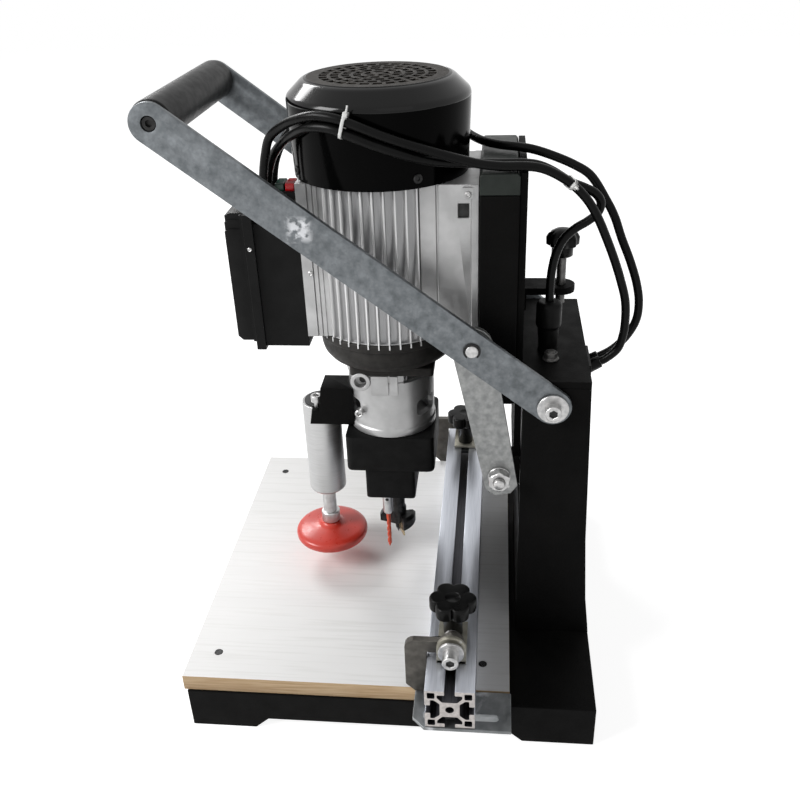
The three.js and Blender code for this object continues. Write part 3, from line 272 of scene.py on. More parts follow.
def plate(name, outline, low, high, plane="Z", holes=(), bevel=0.4, angle=SHARP, place=None):
    """An outline pushed through its plane from one level to another, with rounded edges.
    The outline's axes are X and Y in plane Z, Y and Z in plane X, and X and Z in plane Y."""
    curve = bpy.data.curves.new(name, "CURVE")
    curve.dimensions = "2D"
    curve.fill_mode = "BOTH"
    for loop in (outline, *holes):
        spline = curve.splines.new("POLY")
        spline.points.add(len(loop) - 1)
        for point, (u, v) in zip(spline.points, loop):
            point.co = (u * MM, v * MM, 0, 1)
        spline.use_cyclic_u = True
    curve.extrude = ((high - low) / 2 - bevel) * MM
    curve.bevel_depth = bevel * MM
    curve.bevel_resolution = 1
    curve.offset = -bevel * MM
    drawn = bpy.data.objects.new(name, curve)
    mesh = bpy.data.meshes.new_from_object(drawn)
    bpy.data.objects.remove(drawn)
    bpy.data.curves.remove(curve)
    middle = (low + high) / 2 * (-1 if plane == "Y" else 1)
    mesh.transform(PLANES[plane] @ Matrix.Translation((0, 0, middle * MM)))
    if place:
        mesh.transform(Matrix.Translation(place.translation * MM) @ place.to_3x3().to_4x4())
    tidy(mesh, angle)
    return in_scene(name, mesh)


def block(name, x, y, z, bevel=0.4, corner=0.0):
    """A box between two values of x, y and z each, with rounded edges."""
    outline = rectangle(*x, *y)
    if corner:
        outline = rounded(outline, corner, closed=True)
    return plate(name, outline, *z, bevel=bevel)


def cut(made, *tools):
    """Takes the tools' shapes out of a piece."""
    for tool in tools:
        modifier = made.modifiers.new("cut", "BOOLEAN")
        modifier.operation = "DIFFERENCE"
        modifier.solver = "EXACT"
        modifier.object = tool
    graph = bpy.context.evaluated_depsgraph_get()
    mesh = bpy.data.meshes.new_from_object(made.evaluated_get(graph))
    made.modifiers.clear()
    old = made.data
    made.data = mesh
    bpy.data.meshes.remove(old)
    mesh.name = made.name
    smooth(mesh)
    for tool in tools:
        bpy.data.objects.remove(tool)
    return made


def together(name, *parts):
    """Several closed shapes as one piece."""
    bm = bmesh.new()
    for part in parts:
        bm.from_mesh(part.data)
        bpy.data.objects.remove(part)
    mesh = bpy.data.meshes.new(name)
    bm.to_mesh(mesh)
    bm.free()
    smooth(mesh)
    return in_scene(name, mesh)


def edged(made, width):
    """Rounds the edges of a piece, so that they catch the light."""
    modifier = made.modifiers.new("edges", "BEVEL")
    modifier.width = width * MM
    modifier.segments = 2
    modifier.limit_method = "ANGLE"
    modifier.angle_limit = math.radians(EDGE)
    modifier.harden_normals = True
    return made


def copied(node):
    """A clean copy of a CAD solid, with its flat faces whole."""
    mesh = frame["nodes"][node].data.copy()
    mesh.materials.clear()
    bm = bmesh.new()
    bm.from_mesh(mesh)
    bmesh.ops.remove_doubles(bm, verts=bm.verts, dist=WELD_M)
    flat = math.radians(FLAT)
    bmesh.ops.dissolve_limit(bm, angle_limit=flat, verts=bm.verts, edges=bm.edges)
    bmesh.ops.recalc_face_normals(bm, faces=bm.faces)
    clean = bpy.data.meshes.new(node + ".body")
    bm.to_mesh(clean)
    bm.free()
    bpy.data.meshes.remove(mesh)
    smooth(clean)
    return in_scene(clean.name, clean)


SIDES = {"right": 1, "left": -1}
HEAD_AXIS = -4.5
ON_AXIS = at(0, HEAD_AXIS, 0)

BODY_OF = {
    node: body
    for body, nodes in frame["record"]["behaviour"]["bodies"].items()
    for node in nodes
}


# Finishes

EVEN = (1.0, 1.0, 1.0)
MIX_INPUTS = (0, 6, 7)
MIX_RESULT = 2


class Finish:
    """A material whose colour, roughness and bump are worked out in the part's own frame."""

    def __init__(self, name, **sockets):
        self.material = bpy.data.materials.new(name)
        self.material.use_nodes = True
        self.nodes = self.material.node_tree.nodes
        self.links = self.material.node_tree.links
        self.shader = self.nodes["Principled BSDF"]
        self.relief = None
        for socket, value in sockets.items():
            self.shader.inputs[socket.replace("_", " ")].default_value = value

    def feed(self, socket, source):
        if isinstance(source, bpy.types.NodeSocket):
            self.links.new(source, socket)
        elif isinstance(source, tuple):
            socket.default_value = (*source, 1)
        else:
            socket.default_value = source

    def texture(self, kind, size, stretch):
        """A texture whose pattern is about that many millimetres across."""
        source = self.nodes.new("ShaderNodeTexCoord")
        mapping = self.nodes.new("ShaderNodeMapping")
        mapping.inputs["Scale"].default_value = stretch
        self.links.new(source.outputs["Object"], mapping.inputs["Vector"])
        node = self.nodes.new(kind)
        node.inputs["Scale"].default_value = 1 / (size * MM)
        self.links.new(mapping.outputs["Vector"], node.inputs["Vector"])
        return node

    def noise(self, size, stretch=EVEN, detail=3.0, distortion=0.0):
        node = self.texture("ShaderNodeTexNoise", size, stretch)
        node.inputs["Detail"].default_value = detail
        node.inputs["Distortion"].default_value = distortion
        return node.outputs["Fac"]

    def cells(self, size, output="Distance"):
        return self.texture("ShaderNodeTexVoronoi", size, EVEN).outputs[output]

    def along(self, axis, kind="Object"):
        """The place, or as Normal the direction, of the surface on an axis."""
        source = self.nodes.new("ShaderNodeTexCoord")
        parts = self.nodes.new("ShaderNodeSeparateXYZ")
        self.links.new(source.outputs[kind], parts.inputs["Vector"])
        return parts.outputs[axis]

    def calculated(self, operation, *sources):
        node = self.nodes.new("ShaderNodeMath")
        node.operation = operation
        for socket, source in zip(node.inputs, sources):
            self.feed(socket, source)
        return node.outputs["Value"]

    def away(self, y, z):
        """How far a point is from a line along X, by its larger distance in Y or Z, in metres."""
        distances = [
            self.calculated("ABSOLUTE", self.calculated("SUBTRACT", self.along(axis), middle * MM))
            for axis, middle in (("Y", y), ("Z", z))
        ]
        return self.calculated("MAXIMUM", *distances)

    def between(self, value, low, high, to_low=0.0, to_high=1.0):
        node = self.nodes.new("ShaderNodeMapRange")
        node.clamp = True
        numbers = {"From Min": low, "From Max": high, "To Min": to_low, "To Max": to_high}
        for socket, number in numbers.items():
            node.inputs[socket].default_value = number
        self.links.new(value, node.inputs["Value"])
        return node.outputs["Result"]

    def ramp(self, value, first, second, start=0.3, end=0.7):
        """From one colour to another over that range of the value."""
        node = self.nodes.new("ShaderNodeValToRGB")
        stops = ((start, first), (end, second))
        for element, (share, colour) in zip(node.color_ramp.elements, stops):
            element.position = share
            element.color = (*colour, 1)
        self.links.new(value, node.inputs["Fac"])
        return node.outputs["Color"]

    def mixed(self, value, first, second, kind="MIX"):
        node = self.nodes.new("ShaderNodeMix")
        node.data_type = "RGBA"
        node.blend_type = kind
        for socket, source in zip(MIX_INPUTS, (value, first, second)):
            self.feed(node.inputs[socket], source)
        return node.outputs[MIX_RESULT]

    def colour(self, source):
        self.feed(self.shader.inputs["Base Color"], source)

    def roughness(self, value, low, high):
        result = self.between(value, 0.3, 0.7, low, high)
        self.links.new(result, self.shader.inputs["Roughness"])

    def bump(self, height, depth):
        """Raises the surface by up to that many millimetres."""
        node = self.nodes.new("ShaderNodeBump")
        node.inputs["Strength"].default_value = 1.0
        node.inputs["Distance"].default_value = depth * MM
        self.links.new(height, node.inputs["Height"])
        if self.relief is not None:
            self.links.new(self.relief, node.inputs["Normal"])
        self.relief = node.outputs["Normal"]
        self.links.new(self.relief, self.shader.inputs["Normal"])


def grey(level, warmth=0.0):
    return (level * (1 + warmth), level, level * (1 - warmth))


def plain(name, dark, light, rough, patch=18.0, grain=0.5, depth=0.02, **sockets):
    """A finish that varies between two colours and two roughnesses, with a fine grain."""
    finish = Finish(name, **sockets)
    finish.colour(finish.ramp(finish.noise(patch), dark, light, 0.32, 0.68))
    finish.roughness(finish.noise(patch * 0.4), *rough)
    finish.bump(finish.noise(grain), depth)
    return finish.material


def textured_paint():
    finish = Finish("black_texture_paint", Specular_IOR_Level=0.05)
    finish.colour(finish.ramp(finish.noise(60), grey(0.0025), grey(0.005, 0.04)))
    finish.roughness(finish.noise(14), 0.48, 0.62)
    finish.bump(finish.cells(1.1), 0.08)
    finish.bump(finish.noise(0.5), 0.03)
    return finish.material


RUBBED_ZINC = (0.60, 0.61, 0.63)
WORN_M = (0.005, 0.011)


def galvanised(name, dark, light, spangle, rubbed_from, worn=None):
    """Zinc with spangles, rolling streaks, a few rubbed places and, if given, one worn place."""
    finish = Finish(name, Metallic=0.85)
    tint = finish.cells(spangle, "Color")
    tone = finish.between(finish.noise(4 * spangle, detail=6), 0.3, 0.7)
    base = finish.ramp(tone, dark, light, 0.0, 1.0)
    parts = finish.nodes.new("ShaderNodeSeparateColor")
    finish.links.new(tint, parts.inputs["Color"])
    shade = finish.ramp(parts.outputs["Red"], grey(0.78), grey(1.0), 0.0, 1.0)
    base = finish.mixed(0.6, base, shade, "MULTIPLY")
    blotches = finish.noise(34, detail=6, distortion=0.6)
    rubbed = finish.between(blotches, rubbed_from, rubbed_from + 0.08)
    if worn:
        close = finish.between(finish.away(*worn), *WORN_M, 1.0, 0.0)
        patchy = finish.between(finish.noise(5, detail=5), 0.42, 0.55)
        scuffed = finish.calculated("MULTIPLY", close, patchy)
        rubbed = finish.calculated("MAXIMUM", rubbed, scuffed)
    finish.colour(finish.mixed(rubbed, base, RUBBED_ZINC))
    finish.roughness(finish.noise(7), 0.38, 0.56)
    finish.bump(finish.noise(1.2), 0.03)
    finish.bump(finish.noise(9), 0.02)
    return finish.material


def cast_alloy():
    finish = Finish("cast_aluminium", Metallic=0.72)
    finish.colour(finish.ramp(finish.noise(30, detail=5), grey(0.36), grey(0.52)))
    finish.roughness(finish.noise(6), 0.34, 0.5)
    finish.bump(finish.noise(0.9, detail=5), 0.05)
    finish.bump(finish.noise(0.35), 0.02)
    return finish.material


# Radii over which the fins' colour fades to painted shade at their roots, and the colour of that
# shade
GROOVE_SHADE_M = (0.0589, 0.0608)
GROOVE_SHADE = (0.33, 0.33, 0.335)


def fin_alloy():
    """Die-cast fins: streaked along their height, with painted shade darkening the grooves."""
    finish = Finish("fin_aluminium", Metallic=0.65)
    streak = finish.noise(5, stretch=(1, 1, 0.06), detail=4)
    bright = finish.ramp(streak, grey(0.56), grey(0.80), 0.3, 0.72)
    flat = finish.nodes.new("ShaderNodeVectorMath")
    flat.operation = "MULTIPLY_ADD"
    flat.inputs[1].default_value = (1, 1, 0)
    flat.inputs[2].default_value = (0, -HEAD_AXIS * MM, 0)
    across = finish.nodes.new("ShaderNodeVectorMath")
    across.operation = "LENGTH"
    source = finish.nodes.new("ShaderNodeTexCoord")
    finish.links.new(source.outputs["Object"], flat.inputs[0])
    finish.links.new(flat.outputs["Vector"], across.inputs[0])
    # Painted shade: the colour goes darker towards the fins' roots, in the grooves between them.
    groove_shade = finish.between(across.outputs["Value"], *GROOVE_SHADE_M, 1.0, 0.0)
    finish.colour(finish.mixed(groove_shade, bright, GROOVE_SHADE))
    finish.roughness(finish.noise(4, stretch=(1, 1, 0.2)), 0.32, 0.48)
    finish.bump(finish.noise(0.8, detail=4), 0.04)
    return finish.material


def brushed(name, dark, light, rough, stretch, **sockets):
    finish = Finish(name, Metallic=1.0, **sockets)
    lines = finish.noise(0.5, stretch=stretch, detail=2)
    finish.colour(finish.ramp(lines, dark, light, 0.25, 0.75))
    finish.roughness(finish.noise(3, stretch=stretch), *rough)
    finish.bump(lines, 0.012)
    return finish.material


def glossy_black(name, shine):
    finish = Finish(name, Specular_IOR_Level=shine)
    finish.colour(finish.ramp(finish.noise(40), grey(0.0008), grey(0.0018)))
    finish.roughness(finish.noise(25), 0.10, 0.16)
    finish.bump(finish.noise(14, detail=1), 0.05)
    finish.bump(finish.noise(0.6), 0.004)
    return finish.material


def laminate():
    """White laminate with faint grain along the board, over a light wood edge."""
    finish = Finish("white_laminate", Specular_IOR_Level=0.45)
    streak = finish.noise(3.2, stretch=(1, 0.035, 1), detail=4)
    broad = finish.noise(28, stretch=(1, 0.12, 1), detail=3)
    top = finish.ramp(streak, (0.775, 0.77, 0.755), (0.84, 0.835, 0.825), 0.34, 0.50)
    top = finish.mixed(1.0, top, finish.ramp(broad, grey(0.97), grey(1.0)), "MULTIPLY")
    rings = finish.noise(2.0, stretch=(0.3, 0.06, 1), detail=4)
    wood = finish.ramp(rings, (0.52, 0.33, 0.17), (0.74, 0.55, 0.34))
    face = finish.between(finish.along("Z", "Normal"), 0.75, 0.9)
    finish.colour(finish.mixed(face, wood, top))
    finish.roughness(streak, 0.42, 0.55)
    finish.bump(streak, 0.02)
    return finish.material


def pad_rubber():
    finish = Finish("red_polyurethane", Specular_IOR_Level=0.5, Coat_Weight=0.15, Coat_Roughness=0.2)
    cloud = finish.noise(16, detail=4)
    finish.colour(finish.ramp(cloud, (0.50, 0.028, 0.016), (0.60, 0.046, 0.028)))
    finish.roughness(finish.noise(5), 0.26, 0.38)
    finish.bump(finish.noise(0.8), 0.02)
    return finish.material


FENCE_MIDDLE = (57.0, 77.8)
FENCE_SKIN_M = (0.0193, 0.0196)


def extrusion():
    """Drawn aluminium: bluish faces, painted shade inside the slots and hollows, and a sawn, warmer
    end.
    """
    finish = Finish("drawn_aluminium", Metallic=0.9)
    drawn = (0.02, 1, 1)
    lines = finish.noise(0.5, stretch=drawn, detail=2)
    face = finish.ramp(lines, (0.46, 0.48, 0.53), (0.60, 0.62, 0.67), 0.25, 0.75)
    outside = finish.between(finish.away(*FENCE_MIDDLE), *FENCE_SKIN_M)
    # Painted shade: inside the bar's skin, the slots and hollows are coloured near black.
    inside = finish.ramp(lines, (0.045, 0.045, 0.05), (0.08, 0.08, 0.09), 0.25, 0.75)
    end = finish.ramp(finish.noise(2.5), (0.34, 0.32, 0.31), (0.48, 0.45, 0.43))
    endwise = finish.calculated("ABSOLUTE", finish.along("X", "Normal"))
    sides = finish.mixed(outside, inside, face)
    finish.colour(finish.mixed(finish.between(endwise, 0.8, 0.9), sides, end))
    finish.roughness(finish.noise(3, stretch=drawn), 0.28, 0.4)
    finish.bump(lines, 0.008)
    return finish.material


PAINT = textured_paint()
ZINC = galvanised("galvanised_steel", (0.15, 0.16, 0.165), (0.30, 0.31, 0.315), 6, 0.60)
LEVER_ZINC = galvanised("lever_zinc", (0.120, 0.131, 0.139), (0.215, 0.230, 0.242), 1.8, 0.72,
                        worn=(-57.0, 430.0))
CARRIER_ZINC = galvanised("yellow_zinc", (0.22, 0.21, 0.175), (0.36, 0.345, 0.29), 3, 0.66)
CASTING = cast_alloy()
FINS = fin_alloy()
GLOSS = glossy_black("gloss_black", 0.03)
POLISHED_BLACK = glossy_black("polished_black", 0.24)
LAMINATE = laminate()
PAD = pad_rubber()
GRILLE_BLACK = plain("grille_black", grey(0.020, 0.12), grey(0.034, 0.12), (0.5, 0.62),
                     grain=0.8, Specular_IOR_Level=0.1)
SHADE = plain("deep_shade", grey(0.0008), grey(0.0015), (0.7, 0.8), Specular_IOR_Level=0.0)
PLASTIC = plain("moulded_black", grey(0.005), grey(0.010), (0.34, 0.46), grain=0.7, depth=0.03,
                Specular_IOR_Level=0.10)
KNOB = plain("knob_black", grey(0.003), grey(0.006), (0.26, 0.36), grain=0.9, depth=0.03,
             Specular_IOR_Level=0.12)
GRIP = plain("grip_black", grey(0.006), grey(0.010), (0.40, 0.52), grain=0.6, depth=0.03,
             Specular_IOR_Level=0.16)
CASTIRON = plain("dark_casting", grey(0.020, 0.06), grey(0.036, 0.06), (0.5, 0.66), patch=9,
                 grain=1.3, depth=0.06, Specular_IOR_Level=0.15)
CRINKLE = plain("crinkle_black", grey(0.004), grey(0.008), (0.44, 0.58), patch=12, grain=1.6,
                depth=0.08, Specular_IOR_Level=0.08)
CAP_PAINT = plain("olive_paint", (0.018, 0.022, 0.019), (0.030, 0.036, 0.032), (0.36, 0.5),
                  grain=0.8, depth=0.04, Specular_IOR_Level=0.2)
SHEATH = plain("cable_sheath", grey(0.003), grey(0.006), (0.24, 0.34), grain=1.0,
               Specular_IOR_Level=0.10)
NYLON = plain("white_nylon", (0.78, 0.78, 0.76), (0.86, 0.86, 0.85), (0.34, 0.46), grain=0.8)
STEEL = plain("bright_steel", grey(0.42), grey(0.58), (0.30, 0.42), patch=6, grain=0.4,
              depth=0.001, Metallic=1.0)
BOLT = plain("plated_bolt", grey(0.36), grey(0.54, 0.01), (0.30, 0.44), patch=4,
             depth=0.001, Metallic=1.0)
BLACK_BOLT = plain("black_bolt", grey(0.012), grey(0.028), (0.34, 0.46), patch=4,
                   depth=0.002, Metallic=0.6)
TOOL = plain("tool_steel", grey(0.018), grey(0.045), (0.30, 0.44), patch=4, grain=0.6,
             depth=0.004, Metallic=0.85)
CARBIDE = plain("carbide_tip", (0.52, 0.40, 0.20), (0.66, 0.56, 0.36), (0.22, 0.32), patch=3,
                Metallic=0.9)
RED_DRILL = plain("red_drill", (0.55, 0.05, 0.02), (0.68, 0.09, 0.03), (0.3, 0.42), patch=3)
EXTRUSION = extrusion()
CYLINDER = brushed("turned_aluminium", grey(0.42), grey(0.52), (0.34, 0.44), (0.03, 0.03, 1),
                   Anisotropic=0.5)
FLAP_STEEL = plain("flap_steel", (0.058, 0.054, 0.048), (0.105, 0.098, 0.088), (0.38, 0.52),
                   patch=9, grain=0.7, depth=0.01, Metallic=0.8)
DULL_STEEL = plain("dull_steel", grey(0.10, 0.02), grey(0.17, 0.02), (0.38, 0.52), patch=5,
                   grain=0.6, depth=0.002, Metallic=0.85)
LINK_STEEL = plain("link_steel", (0.20, 0.205, 0.205), (0.31, 0.315, 0.31), (0.36, 0.5), patch=5,
                   grain=0.7, depth=0.01, Metallic=0.85)
GREEN = plain("green_plastic", (0.006, 0.045, 0.028), (0.010, 0.065, 0.04), (0.24, 0.34),
              grain=0.8)
RED = plain("red_plastic", (0.74, 0.006, 0.012), (0.84, 0.012, 0.018), (0.24, 0.34), grain=0.8)


# The slot of each finish, unless a piece asks for another
SLOTS = {
    "black_paint": [PAINT],
    "grey_paint": [CAP_PAINT],
    "cast_alloy": [CASTING, FINS],
    "dark_casting": [CASTIRON, CRINKLE],
    "black_plastic": [PLASTIC, KNOB, GRIP],
    "green_plastic": [GREEN],
    "red_plastic": [RED],
    "gloss_black": [GLOSS, POLISHED_BLACK, GRILLE_BLACK, SHADE],
    "bright_steel": [STEEL, BOLT, DULL_STEEL, CYLINDER],
    "zinc_steel": [ZINC, LEVER_ZINC, CARRIER_ZINC, LINK_STEEL, FLAP_STEEL],
    "tool_steel": [TOOL, BLACK_BOLT, CARBIDE, RED_DRILL],
    "extruded_alloy": [EXTRUSION],
    "laminate": [LAMINATE],
    "orange_rubber": [PAD],
}
SLOT_OF = {finish.name: slot for slot, finishes in SLOTS.items() for finish in finishes}


def dress(made, material, body, *nodes, slot=None):
    """Gives a piece its finish, the body that it rides on and the CAD nodes that it stands for."""
    made.data.materials.clear()
    made.data.materials.append(material)
    slot or SLOT_OF[material.name]
    if nodes:
        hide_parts(*nodes)
    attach(made, body)
    return made


# Cables: two motor leads from the junction box to the column's back and the switch lead to the
# boot on the lid. Their routes are the ones of the CAD solids.

CABLE_RADIUS = 3.5
CABLE_STEPS = 7
CABLE_SIDES = 20
CABLES = {
    "motor_cable_near": Sizes(
        stiffness="medium", length_m=0.504, start=(51, 128, 460.5), end=(28, 193.5, 345),
        points=[
            (24, -98.5, 422.3), (24, -98, 438), (25.5, -95.5, 455), (30, -91.5, 470),
            (37, -85, 485), (46, -73, 495), (57, -59, 502.5), (67, -43, 507), (74, -26, 506),
            (77.2, -9, 500.5), (77.2, 6, 494.5), (75, 20, 489), (70.5, 34, 483.5),
            (65.5, 48, 478), (61.5, 62, 473), (59.5, 76, 469.2), (58.5, 92, 467.2),
            (56.5, 108, 466.6), (54, 118, 464.8), (51, 128, 460.5), (46, 144, 449.5),
            (42, 156, 436.5), (38.5, 165, 421.5), (35, 173, 404), (32, 180.5, 386),
            (30, 187, 368), (28.5, 192.5, 349), (28, 194, 332), (28, 193.3, 318.4),
            (28, 189.8, 305.4), (28, 180.4, 296), (28, 176.8, 293.9),
        ],
    ),
    "motor_cable_far": Sizes(
        stiffness="medium", length_m=0.539, start=(6.5, 132, 460.8), end=(12, 203, 357),
        points=[
            (-14, -98.5, 422.3), (-14.5, -98, 438), (-18, -95, 455), (-27, -88, 470),
            (-40, -76.5, 481), (-54, -60.5, 489), (-66, -42.5, 493), (-74.5, -23, 492.5),
            (-77.8, -4, 489), (-76, 14, 484), (-69.5, 31, 479.5), (-58.5, 46.5, 475),
            (-44, 58.5, 471.5), (-29, 67.5, 469), (-16, 77, 467.8), (-7, 89, 467.1),
            (0, 104, 466.9), (4, 116, 465.6), (6.5, 132, 460.8), (7.5, 148, 454),
            (8.5, 160, 446.5), (9.5, 173.5, 427), (10, 181, 413.5), (10.5, 187.8, 396),
            (11, 196.4, 376), (12, 203, 357), (13, 206, 341), (13.5, 205, 325),
            (14, 197.5, 309.5), (14, 187, 298), (14, 176.9, 291.6),
        ],
    ),
    "switch_cable": Sizes(
        stiffness="limp", length_m=0.456, start=(42.5, 128, 459.5), end=(27, 173, 384.5),
        points=[
            (8, -98.5, 422.3), (8.5, -98, 436), (12, -95, 451), (20.5, -87.5, 467.5),
            (34, -75.5, 481), (48, -63.5, 490), (62, -49.5, 497.5), (71.8, -32, 499),
            (76.8, -14, 493.5), (77.4, 2, 487.4), (75.4, 16, 482), (69.5, 30, 476.3),
            (61, 44, 471.6), (53.5, 58, 468.8), (50.2, 74, 467.4), (49.3, 92, 466.9),
            (47.5, 108, 466.4), (45.5, 118, 464.4), (42.5, 128, 459.5), (37, 143, 449),
            (33, 154, 443.5), (30.5, 163, 438), (29, 167.5, 430.5), (28, 165.5, 422),
            (27.5, 158.5, 415.5), (27, 149.5, 409.5), (27, 141, 401), (27, 135.5, 389),
            (27, 132.8, 375), (27, 132, 362), (27, 132, 348.3),
        ],
    ),
}



def metres(point):
    return [c * MM for c in point]


def smooth_route(points, steps):
    """A centripetal Catmull-Rom curve through the points."""
    points = [Vector(p) for p in points]
    points = [2 * points[0] - points[1], *points, 2 * points[-1] - points[-2]]
    route = []
    for p0, p1, p2, p3 in zip(points, points[1:], points[2:], points[3:]):
        t0 = 0.0
        t1 = t0 + math.sqrt((p1 - p0).length)
        t2 = t1 + math.sqrt((p2 - p1).length)
        t3 = t2 + math.sqrt((p3 - p2).length)
        for step in range(steps):
            t = t1 + (t2 - t1) * step / steps
            a1 = p0.lerp(p1, (t - t0) / (t1 - t0))
            a2 = p1.lerp(p2, (t - t1) / (t2 - t1))
            a3 = p2.lerp(p3, (t - t2) / (t3 - t2))
            b1 = a1.lerp(a2, (t - t0) / (t2 - t0))
            b2 = a2.lerp(a3, (t - t1) / (t3 - t1))
            route.append(b1.lerp(b2, (t - t1) / (t2 - t1)))
    route.append(points[-2])
    return route


def tube(name, route, radius):
    """A round tube along a route, without twist."""
    ahead = [(b - a).normalized() for a, b in zip(route, route[1:])]
    ahead = [ahead[0], *[(a + b).normalized() for a, b in zip(ahead, ahead[1:])], ahead[-1]]
    side = ahead[0].orthogonal().normalized()
    rows = []
    for here, way in zip(route, ahead):
        side = (side - way * side.dot(way)).normalized()
        up = way.cross(side)
        angles = [TAU * i / CABLE_SIDES for i in range(CABLE_SIDES)]
        rows.append([here + (side * math.cos(a) + up * math.sin(a)) * radius for a in angles])
    return banded(name, rows, CABLE_SIDES, True, None)


TIE = Sizes(width=2.5, thickness=0.9, room=0.05, head=2.2, head_width=3.8, tail=7.0, tail_width=1.4)
TIE_PLACES = {"front": (75.3, -21.3, 500.5), "rear": (41.9, 142.5, 450.0)}


def make_tie(name, first, second, place):
    """A nylon band round two cables, with its head beside the first."""
    near = [min(route, key=lambda p: (p - Vector(place)).length) for route in (first, second)]
    i = first.index(near[0])
    way = (first[i + 1] - first[i - 1]).normalized()
    across = near[1] - near[0]
    across -= way * across.dot(way)
    half = across.length / 2
    across.normalize()
    turn = Matrix((across, way.cross(across), way)).transposed().to_4x4()
    here = Matrix.Translation((near[0] + near[1]) / 2) @ turn
    inner = CABLE_RADIUS + TIE.room
    outer = inner + TIE.thickness
    band, hole = [arc(half, 0, r, -90, 90) + arc(-half, 0, r, 90, 270) for r in (outer, inner)]
    end = -half - outer
    tail = rectangle(end - TIE.tail, end, -TIE.tail_width / 2, TIE.tail_width / 2)
    parts = [
        plate("part", outline, -width / 2, width / 2, holes=holes, place=here, bevel=bevel)
        for outline, holes, width, bevel in (
            (band, [hole], TIE.width, 0.2),
            (square(end, 0, TIE.head), [], TIE.head_width, 0.4),
            (tail, [], TIE.tail_width, 0.2),
        )
    ]
    tie = together("cable_tie." + name, *parts)
    tie.data.materials.append(NYLON)
    return tie


def make_cables():
    routes = {name: smooth_route(c.points, CABLE_STEPS) for name, c in CABLES.items()}
    pair = (routes["motor_cable_near"], routes["switch_cable"])
    ties = [make_tie(name, *pair, place) for name, place in TIE_PLACES.items()]
    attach(ties[0], "head")
    carrier = CABLES["motor_cable_near"]
    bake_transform(ties[1], "head", "root", start=metres(carrier.start), end=metres(carrier.end))
    for name, cable in CABLES.items():
        made = tube(name + ".sheath", routes[name], CABLE_RADIUS)
        made.data.materials.append(SHEATH)
        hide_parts(name)
        metres(cable.start)
        metres(cable.end)
        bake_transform(made)
        path = [point * MM for point in routes[name]]
        print(name, "length", sum((b - a).length for a, b in zip(path, path[1:])))
        cable.length_m
        cable.stiffness


make_cables()


# Nodes whose CAD shape is right get rounded edges; hidden ones only get a finish.

POLISHED = {
    "base_frame": (PAINT, 0.9),
    "column_shell": (PAINT, 0.9),
    "column_lid": (PAINT, 0.9),
    "slide_plate": (PAINT, 0.5),
    "carriage_box": (PAINT, 1.2),
    "carriage_cap": (CAP_PAINT, 0.8),
    "motor_foot": (CASTING, 0.8),
    "junction_box": (PLASTIC, 0.8),
    "switch_block": (PLASTIC, 0.8),
    "green_button": (GREEN, 1.0),
    "red_button": (RED, 1.0),
    "press_cylinder": (CYLINDER, 0.5),
    "depth_stop_ear": (PAINT, 0.6),
    "link_plate_right": (LINK_STEEL, 0.5),
    "link_plate_left": (LINK_STEEL, 0.5),
    "fence_bracket_right": (ZINC, 0.5),
    "fence_bracket_left": (ZINC, 0.5),
    "stop_flap_right": (FLAP_STEEL, 0.6),
    "stop_flap_left": (FLAP_STEEL, 0.6),
    "cable_entry": (PLASTIC, 0.6),
    "guide_shaft_right": (DULL_STEEL, 0.4),
    "guide_shaft_left": (DULL_STEEL, 0.4),
}
CARRIED = {"bearing_block": CASTING, "motor_rotor": STEEL, "cooling_fan": PLASTIC}
HEAD_TRAVEL = 24.7


def make_plain_pieces():
    for node, (material, width) in POLISHED.items():
        dress(edged(copied(node), width), material, BODY_OF[node], node)
    for node, material in CARRIED.items():
        materials = frame["nodes"][node].data.materials
        materials.clear()
        materials.append(material)
    for side in SIDES:
        node = "return_spring_" + side
        box = extent(node)
        spring = dress(copied(node), STEEL, "root", node)
        metres((box.x, box.y, box.z0))
        1 - HEAD_TRAVEL / (box.z1 - box.z0)
        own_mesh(spring)


# Small hardware, each made along its own +Z from its seat

# Socket screws: radius and height of the head, then key and depth of its socket
SCREWS = {
    "cover": (3.6, 1.8, 1.5, 1.2),
    "pedestal": (2.0, 1.0, 0.8, 0.6),
    "foot": (2.6, 1.6, 1.3, 1.0),
    "housing": (3.6, 6, 1.8, 2.5),
    "drill": (1.6, 1.0, 0.8, 0.6),
    "press": (5, 6, 2.5, 3),
    "pivot": (6.5, 8, 3.2, 3.5),
    "fence": (5.5, 4, 2.6, 2.4),
    "stop": (6.5, 11, 3.2, 4),
    "junction": (1.8, 1.2, 0.8, 0.6),
    "table": (3.8, 0.2, 1.5, 0.15),
}
SCREW_BEVEL = 0.5
NUT_BEVEL = 0.7
WASHER_BEVEL = 0.3
PITCH = 1.25
THREAD_DEPTH = 0.45
CLIP = Sizes(gap=70, ends=8, bevel=0.2)
SOCKET_ROOM = 0.1


def socket_screw(name, kind, place):
    """A cylindrical head with a hexagonal socket."""
    radius, height, key, depth = SCREWS[kind]
    floor = height - depth
    half = SCREW_BEVEL / 2
    rings = [
        (0, floor), (key, floor, hexagon), (key, height - half, hexagon),
        (key + half, height, hexagon), (radius - SCREW_BEVEL, height),
        (radius, height - SCREW_BEVEL), (radius, 0), (0, 0),
    ]
    return turned(name, rings, place, SMALL)


def socket_shade(name, kind, height, place):
    """A dark filling of a socket, as deep shade."""
    key = SCREWS[kind][2] - SOCKET_ROOM
    rings = [(0, 0), (key, 0, hexagon), (key, height, hexagon), (0, height)]
    return turned(name, rings, place, SMALL)


def nut(name, across, height, hole, place):
    bevel, rim = NUT_BEVEL, across - NUT_BEVEL / 2
    rings = [
        (rim, 0), (across, bevel, hexagon), (across, height - bevel, hexagon), (rim, height),
        (hole + bevel, height), (hole, height - bevel), (hole, 0),
    ]
    return turned(name, rings, place, SMALL, closed=True, angle=25)


def washer(name, radius, hole, height, place):
    bevel = WASHER_BEVEL
    rings = [
        (hole, 0), (radius, 0), (radius, height - bevel), (radius - bevel, height), (hole, height),
    ]
    return turned(name, rings, place, SMALL, closed=True)


